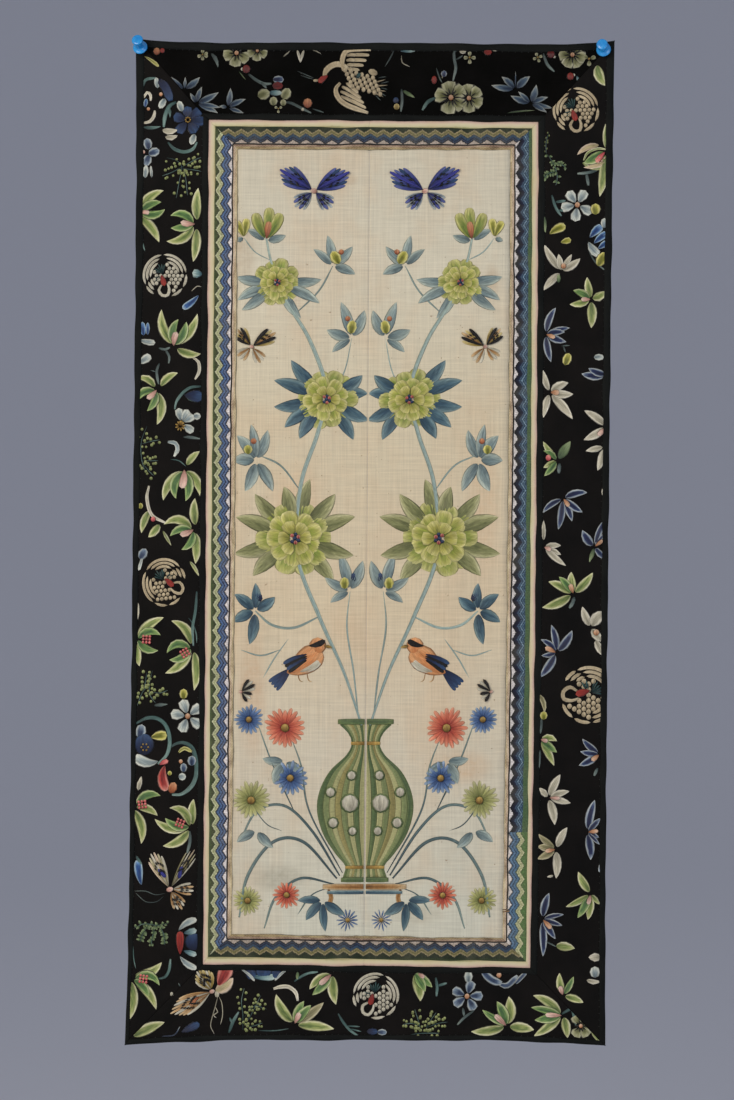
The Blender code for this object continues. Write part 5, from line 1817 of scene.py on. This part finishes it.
DYES.update({
    "bloom_outer": Dye(("#46602a", "#748636", "#9ea052", "#c2bd7e"), (0.0, 0.6, 0.0, 0.4), ROUNDED),
    "bloom_inner": Dye(("#5a742c", "#8d973c", "#b3af5c", "#cfc88a"), (0.0, 0.6, 0.0, 0.4), ROUNDED, 1),
    "bloom_heart": Dye(("#7c8034", "#aaa44e", "#c9c27e"), (0.0, 0.75, 0.0, 0.3), ROUNDED, 2),
    "olive_leaf": Dye(("#434a2c", "#6d7146", "#9a9a6a", "#c0bb92"), (0.0, 0.35, 0.5, 0.2), POINTED),
    "grey_leaf": Dye(("#45575c", "#6c7f80", "#96a49c", "#b9c1b0"), (0.0, 0.35, 0.5, 0.2), POINTED),
    "deep_leaf": Dye(("#20384c", "#35505f", "#5f7a80", "#8fa09a"), (0.0, 0.35, 0.45, 0.2), POINTED),
    "field_stem": Dye(("#647c7c", "#8a9e98", "#a4b4a6"), EVEN),
    "reed": Dye(("#36484c", "#566a6a", "#84968c"), ALONG),
    "vase_0": Dye(("#34482e", "#4c5f3a", "#6c7a4a"), EVEN), "vase_1": Dye(("#66744a", "#838c5a"), EVEN),
    "vase_2": Dye(("#969864", "#aeaa78"), EVEN), "vase_3": Dye(("#7d7644", "#99905a"), EVEN),
    "coral_ray": Dye(("#a83a32", "#cb664a", "#dc9c7c"), ALONG, BLADE),
    "blue_ray": Dye(("#2a4474", "#4f6c98", "#94a6b6"), ALONG, BLADE),
    "straw_ray": Dye(("#7d8448", "#a6a664", "#c4c092"), ALONG, BLADE),
    "song_orange": Dye(("#a65a2c", "#c9824c", "#d8a674"), EVEN, ROUNDED, 1),
    "wing_violet": Dye(("#20245a", "#323a7c", "#5c6698"), ALONG, ROUNDED, 1),
})

FIELD_DESIGN = {
    "stems": {
        "field_stem": (
            (2.8, (3, -490), (16, -452), (34, -412), (50, -368), (48, -318), (36, -280), (30, -250),
             (42, -214), (60, -184), (70, -158), (74, -140)),
            (1.9, (34, -412), (52, -420), (68, -418), (80, -408)),
            (1.8, (48, -322), (62, -304), (78, -296)), (1.7, (33, -262), (18, -238), (12, -212)),
            (1.7, (52, -194), (36, -178), (26, -160)), (1.6, (71, -156), (82, -150), (90, -140)),
            (1.7, (5, -488), (9, -452), (14, -420), (12, -394)), (1.6, (56, -428), (66, -442), (74, -456)),
            (1.4, (62, -436), (76, -440), (90, -436)),
        ),
        "reed": (
            (2, (18, -598), (38, -566), (58, -548), (78, -552), (90, -574)),
            (2.2, (20, -600), (44, -574), (66, -574), (84, -598), (90, -628)),
            (1.9, (22, -604), (46, -600), (64, -614), (72, -636)),
            (1.8, (16, -596), (40, -552), (46, -520), (54, -498)),
            (1.7, (24, -606), (38, -612), (48, -626)), (1.6, (50, -554), (66, -520), (78, -488)),
            (1.6, (60, -566), (72, -560), (86, -540)),
        ),
    },
    "flowers": (
        (80, -300, {"grey_leaf": (
            (94, -282, 9, 1.2), (97, -300, 9, 1), (88, -322, 9, -1.2), (68, -322, 8, -1),
            (72, -278, 8, 1.2), (84, -274, 7, 0.8),
        )}),
        (80, -408, {"deep_leaf": (
            (95, -396, 8, 1), (96, -416, 8, 0.8), (84, -432, 8, -1), (66, -398, 8, 1), (80, -388, 7, 0.8),
        )}),
        (12, -212, {"grey_leaf": (
            (3, -192, 8, 1), (20, -186, 8, 0.8), (30, -206, 8, -1), (26, -222, 6, 0.8),
        )}),
        (26, -160, {"grey_leaf": (
            (12, -146, 7, 1), (30, -138, 7, 0.8), (10, -166, 7, -1), (40, -148, 6, 0.8),
        )}),
        (12, -394, {"grey_leaf": (
            (3, -372, 8, 1), (20, -366, 8, 0.8), (30, -384, 7, -1), (26, -402, 6, 1),
        )}),
        (74, -142, {
            "bloom_outer": ((64, -122, 8, 1), (72, -118, 8, 0.6), (82, -122, 8, -1)),
            "orange": ((72, -128, 5),), "grey_leaf": ((60, -138, 6, 0.8), (88, -134, 6, 0.8)),
        }),
        (90, -140, {"yellow": ((96, -128, 6, 0.6), (88, -126, 6)), "grey_leaf": ((96, -142, 4),)}),
        (58, -516, {"grey_leaf": ((44, -524, 8, 1), (66, -532, 8, 1), (74, -514, 7, -1))}),
        (30, -616, {"deep_leaf": (
            (14, -626, 7, 0.8), (42, -630, 7, 0.8), (28, -638, 6, 0.6), (48, -616, 6, 0.8),
        )}),
        (78, -566, {"grey_leaf": ((66, -578, 7, 0.8), (92, -574, 7, 0.8))}),
    ),
    "dots": {
        "yellow": (
            (24, -154, 4, 1.3, 60), (12, -204, 3.8, 1.3, 100), (86, -292, 3.4), (16, -388, 3.6, 1.2),
        ),
        "orange": ((20, -150, 2), (15, -198, 2), (82, -286, 2.2)),
        "navy": ((78, -398, 3, 1.3, 60), (9, -384, 2.6, 1.4, 80)),
    },
    "butterflies": (
        (40, -106, 1.9,
         ((("wing_violet", "navy", "wing_violet", "violet"), 152, 29, 18, 7),
          (("wing_violet", "navy", "wing_violet", "violet"), 32, 29, 18, 7),
          (("steel", "wing_violet"), 222, 18, 13, 5), (("steel", "wing_violet"), -40, 18, 13, 5))),
        (84, -218, 1.4,
         ((("ink", "ochre", "brown"), 150, 20, 12, 5), (("ink", "ochre", "brown"), 50, 17, 11, 5),
          (("brown", "crane"), 235, 14, 9, 4), (("brown", "crane"), -40, 13, 9, 4))),
        (90, -466, 1.1, ((("ink", "crane"), 145, 12, 9, 4), (("ink", "crane"), 215, 9, 7, 3))),
    ),
}

# The vase from its lip to its foot, and the dyes of its ribs from the outline inwards
VASE_OUTLINE = (
    (19, -489), (13, -495), (10, -503), (14, -512), (26, -524), (33, -538), (34.5, -552), (30, -568),
    (21, -582), (14, -591), (16, -600),
)
VASE_RIBS = ("vase_0", "vase_1", "vase_2", "vase_3", "vase_1", "vase_2", "vase_0", "vase_2")
# Its medallions: place and radius
MEDALLIONS = ((11, -546, 6), (25, -538, 3.2), (23, -560, 3.4), (9, -566, 2.8), (10, -526, 3))

# Blooms: place, radius, the leaves' dye, and the turn and reach of each leaf round them
BLOOMS = (
    (52, -356, 27, "olive_leaf", (
        (20, 45), (48, 43), (78, 38), (104, 44), (132, 43), (160, 46), (196, 44), (228, 42), (318, 40),
        (346, 45),
    )),
    (30, -256, 22, "deep_leaf", (
        (-34, 36), (-8, 38), (20, 40), (48, 38), (146, 31), (172, 30), (206, 34), (236, 35), (304, 34),
    )),
    (66, -172, 17, "grey_leaf", ((-24, 31), (8, 30), (176, 32), (206, 34), (236, 31), (322, 32))),
)
DAISIES = (
    ("coral_ray", 58, -492, 15, 20), ("blue_ray", 84, -486, 11), ("blue_ray", 54, -528, 12.5),
    ("straw_ray", 82, -544, 14, 20), ("coral_ray", 56, -612, 10.5, 16), ("straw_ray", 84, -616, 11),
    ("blue_ray", 12, -630, 8, 14),
)


def embroider_vase(work):
    """Half a vase: ribs of satin stitch from its lip to its foot, medallions, a lip and a low stand."""
    outline = smooth_curve(VASE_OUTLINE, 3.0)
    for k, dye in enumerate(VASE_RIBS):
        share = 1.0 - (k + 0.5) / len(VASE_RIBS)
        work.shape(dye, outline * (share, 1.0), outline[:, 0] / len(VASE_RIBS), cross=True, layer=0)
    for h, z, radius in MEDALLIONS:
        work.dot("vase_0", h, z, radius + 1.1, layer=3)
        work.dot("crane", h, z, radius, layer=5)
    for dye, width, z, reach in (
        ("vase_0", 4, -487.5, 20), ("gold", 2.6, -503, 10.5), ("gold", 2.4, -592, 14),
        ("vase_0", 3.6, -601, 17), ("brown", 4.2, -606, 30), ("deep_leaf", 2.6, -610, 27),
    ):
        work.stem(dye, width, ((-2, z), (0.5 * reach, z), (reach, z)), taper=0.2, cross=True, layer=2)
    work.stem("brown", 3.4, ((26, -608), (24, -614), (27, -621), (31, -620)), cross=True)


def embroider_bloom(work, x, z, radius, leaf_dye, leaves):
    """A full round bloom of three rings of petals on a fan of leaves."""
    for k, (turn, reach) in enumerate(leaves):
        base, tip = polar((x, z), turn, 0.5 * radius), polar((x, z), turn, reach)
        work.petal(leaf_dye, base, tip, 0.36 * radius + 1.5, (-1) ** k * 1.4)
    for dye, count, reach, width in (
        ("bloom_outer", 10, 1.0, 0.6), ("bloom_inner", 9, 0.76, 0.5), ("bloom_heart", 6, 0.48, 0.4),
    ):
        for k in range(count):
            at = 360.0 * k / count + work.random.uniform(-6.0, 6.0)
            end = radius * reach * work.random.uniform(0.92, 1.06)
            work.petal(dye, polar((x, z), at, radius * 0.12), polar((x, z), at, end), radius * width)
    for k in range(7):
        place = polar((x, z), 51.4 * k, radius * 0.11) if k else (x, z)
        work.dot("rose" if k % 2 else "navy", *place, radius * 0.055, layer=5)


def embroider_daisy(work, dye, x, z, radius, rays=18):
    """A daisy of narrow rays about a gold eye."""
    for turn in np.linspace(0.0, 360.0, rays, endpoint=False):
        end = radius * work.random.uniform(0.86, 1.06)
        work.petal(dye, polar((x, z), turn, radius * 0.16), polar((x, z), turn, end), radius * 0.22,
                   form=(0.6, 0.4))
    work.dot("gold", x, z, radius * 0.2)


def embroider_songbird(work, x, z, size):
    """A plump songbird that looks to the seam."""

    def at(off_x, off_z):
        return (x + size * off_x, z + size * off_z)

    for k in range(4):
        work.petal("navy", at(7, -5), at(20 - 1.5 * k, -13 - 1.6 * k), 2.6 * size, layer=0)
    work.petal("song_orange", at(10, -8), at(-8, 5), 13.5 * size, 1.5)
    work.petal("crane", at(4, -7.5), at(-8.5, -0.5), 5.4 * size, 1.6, layer=2)
    work.dot("song_orange", *at(-7, 7), 4.6 * size, layer=2)
    work.petal("ink", at(-2, 7), at(-11, 10), 3.4 * size, 1.2, form=ROUNDED, layer=4)
    work.petal("gold", at(-10.5, 7), at(-15, 6), 1.9 * size, form=SLENDER)
    work.dot("ink", *at(-8, 7.4), 0.7 * size, layer=6)
    for k in range(4):
        work.petal("ink" if k % 2 else "navy", at(-2, 2.5 - k), at(12 - k, -3 - 1.6 * k), 2.7 * size, 0.6,
                   form=ROUNDED, layer=3)
    for foot in (-1, 4):
        work.stem("brown", 0.9 * size, (at(foot, -7), at(foot - 1, -12), at(foot - 3, -13)))


def embroider_field(work):
    embroider(work, FIELD_DESIGN)
    embroider_vase(work)
    for row in BLOOMS:
        embroider_bloom(work, *row)
    embroider_songbird(work, 44, -442, 1.3)
    for row in DAISIES:
        embroider_daisy(work, *row)


# Cords couched along the ribbon's and the braid's inner edges: dye, outline, width and face
COUCHED_CORDS = (("ink", "braid_outer", 1.45, 1.55), ("cream", "field", 0.6, 1.2))
CORD_STEP = 2.5
BRAID_FACE = 1.75
# The braid's join at the right: stitches over it, from end to end
BRAID_JOIN = (((91.2, -624.2), (97.2, -623.4)), ((91.4, -622.6), (95.6, -622.4)))
STITCH_PITCH = 4.6
BORDER_FACE = 1.2
# The top strip's silks are painted darker, as painted shade for the dimmer light at the top, the dyed ones
# most
TOP_PAINTED_SHADE, CRANE_PAINTED_SHADE = 0.7, 0.84
# How far the field's needlework stays off the middle seam and off the braid's inner edge
SEAM_CLEAR = 0.8
FIELD_INSET = 0.6


def run_along(ring, side, pitch):
    """Places along one side of an outline, a pitch apart, and the ways square to it."""
    shares = np.linspace(0.0, 1.0, int(math.dist(*side_ends(ring, side)) / pitch))
    places = np.stack(side_points(ring, side, shares), axis=1)
    way = np.gradient(places, axis=0)
    way = way / np.hypot(way[:, :1], way[:, 1:])
    return places, np.stack([-way[:, 1], way[:, 0]], axis=1)


def make_cords():
    work = Needlework(0.0, 71)
    for dye, ring, width, face in COUCHED_CORDS:
        work.face = face
        for side in SIDES:
            places, square = run_along(ring, side, CORD_STEP)
            places = places + square * work.random.normal(0.0, 0.12, (len(places), 1))
            work.shape(dye, places, [width] * len(places), layer=0, cross=True, dome=0.4)
    work.face = BRAID_FACE
    for start, end in BRAID_JOIN:
        work.petal("brown", start, end, 0.9, form=BLUNT, deep=0.6)
    return work.finish("couched_cords")


def make_slip_stitches():
    """The small slanting stitches that hold the bindings' folded edges down."""
    work = Needlework(0.0, 72)
    for ring, face in (("frame_outer", 1.3), ("frame_inner", 1.3)):
        work.face = face
        for side in SIDES:
            places, square = run_along(ring, side, STITCH_PITCH)
            square = square * INWARDS[side]
            for place, off in zip(places[2:-2], square[2:-2]):
                slant = np.array([off[1], -off[0]]) * work.random.uniform(0.3, 0.6)
                work.petal("ink", place - off * 0.7 - slant, place + off * 0.6 + slant, 0.4, form=BLUNT,
                           layer=0, dome=0.3)
    return work.finish("binding_slip_stitches")


def make_embroidery():
    for seed, (side, strip) in enumerate(
        {"left": LEFT, "top": TOP, "right": RIGHT, "bottom": BOTTOM}.items()
    ):
        work = Needlework(BORDER_FACE, 11 + seed)
        # Painted shade: the top strip's dyes are darker
        work.tone = TOP_PAINTED_SHADE if side == "top" else 1.0
        embroider(work, strip)
        if side == "top":
            work.tone = CRANE_PAINTED_SHADE
            embroider_flying_crane(work)
        work.finish(f"floss_border_{side}", strip_lines(side))
    for half, way in (("left", -1.0), ("right", 1.0)):
        work = Needlework(FIELD_FRONT, 31 if way < 0.0 else 32, FIELD_EDGE_SHADE)
        embroider_field(work)
        lines = [
            (lambda x, z, way=way: way * (x - seam_x(z)) - SEAM_CLEAR, "x"),
            within("field", half, -way, FIELD_INSET),
        ]
        work.finish(f"floss_field_{half}", lines, lambda h, z, way=way: seam_x(z) + way * h)
    make_cords()
    make_slip_stitches()


make_embroidery()


# A pass over the ribbon strips, which does nothing with them


def declare_cloth():
    for node, piece in BAND_PIECES.items():
        if not node.startswith("ribbon"):
            continue


declare_cloth()


# Stage: a pale floor that rises far out like a sweep of studio paper, soft studio light, and the
# camera at the photo's place

FLOOR_Z = -1180.0
FLAT_FLOOR = 5.0
SWEEP_REACH = 8.0
SWEEP_RISE = 7.0
CAMERA_DISTANCE = 1900.0
PHOTO_HEIGHT = 792.0
SENSOR = 36.0


def make_stage():
    turns, steps = 96, 40
    rise = FLAT_FLOOR + np.linspace(0.1, SWEEP_REACH, steps)
    radii = np.concatenate([np.linspace(0.02, FLAT_FLOOR, 8), rise])
    far = np.clip((radii - FLAT_FLOOR) / SWEEP_REACH, 0.0, 1.0)
    heights = FLOOR_Z * MM + SWEEP_RISE * (1.0 - np.sqrt(np.clip(1.0 - far**2, 0.0, 1.0)))
    angles = np.linspace(0.0, math.tau, turns, endpoint=False)
    points = np.stack([
        radii[:, None] * np.cos(angles), radii[:, None] * np.sin(angles),
        np.broadcast_to(heights[:, None], (len(radii), turns)),
    ], axis=-1)
    index = np.arange(len(radii) * turns).reshape(len(radii), turns)
    following = np.roll(index, -1, axis=1)
    quads = np.stack([index[:-1], index[1:], following[1:], following[:-1]], axis=-1).reshape(-1, 4)
    mesh = bpy.data.meshes.new("studio_floor")
    mesh.from_pydata(points.reshape(-1, 3).tolist(), [], quads.tolist() + [index[0].tolist()])
    mesh.shade_smooth()
    floor = bpy.data.objects.new("studio_floor", mesh)
    bpy.context.scene.collection.objects.link(floor)
    material, tree, shader = new_material("matt_studio_floor", 0.9)
    shader.inputs["Base Color"].default_value = colour("#dddfe8")
    mesh.materials.append(material)
    world = bpy.data.worlds.new("studio")
    world.use_nodes = True
    background = world.node_tree.nodes["Background"]
    background.inputs["Color"].default_value = colour("#c9ccd6")
    background.inputs["Strength"].default_value = 0.5
    bpy.context.scene.world = world


def make_light(name, place, target, size, watts, hex_code):
    data = bpy.data.lights.new(name, "AREA")
    data.shape = "RECTANGLE"
    data.size, data.size_y = size
    data.energy = watts
    data.color = colour(hex_code)[:3]
    lamp = bpy.data.objects.new(name, data)
    bpy.context.scene.collection.objects.link(lamp)
    lamp.location = Vector(place)
    lamp.rotation_mode = "QUATERNION"
    lamp.rotation_quaternion = (Vector(place) - Vector(target)).to_track_quat("Z", "Y")


def make_camera():
    data = bpy.data.cameras.new("camera")
    camera = bpy.data.objects.new("camera", data)
    bpy.context.scene.collection.objects.link(camera)
    data.sensor_fit = "VERTICAL"
    data.sensor_height = SENSOR
    data.lens = SENSOR * CAMERA_DISTANCE / PHOTO_HEIGHT
    data.clip_start = 0.05
    camera.location = (PHOTO_MIDDLE_X * MM, -CAMERA_DISTANCE * MM, PHOTO_MIDDLE_Z * MM)
    camera.rotation_euler = (math.radians(90.0), 0.0, 0.0)
    bpy.context.scene.camera = camera


make_stage()
make_light("key_light", (-1.1, -1.7, 0.2), (0.0, 0.0, -0.36), (1.0, 1.0), 27.0, "#fff6ea")
make_light("fill_light", (1.4, -1.9, -0.2), (0.0, 0.0, -0.36), (1.4, 1.4), 14.0, "#f2f6ff")
make_camera()
bpy.context.scene.view_settings.view_transform = "Standard"
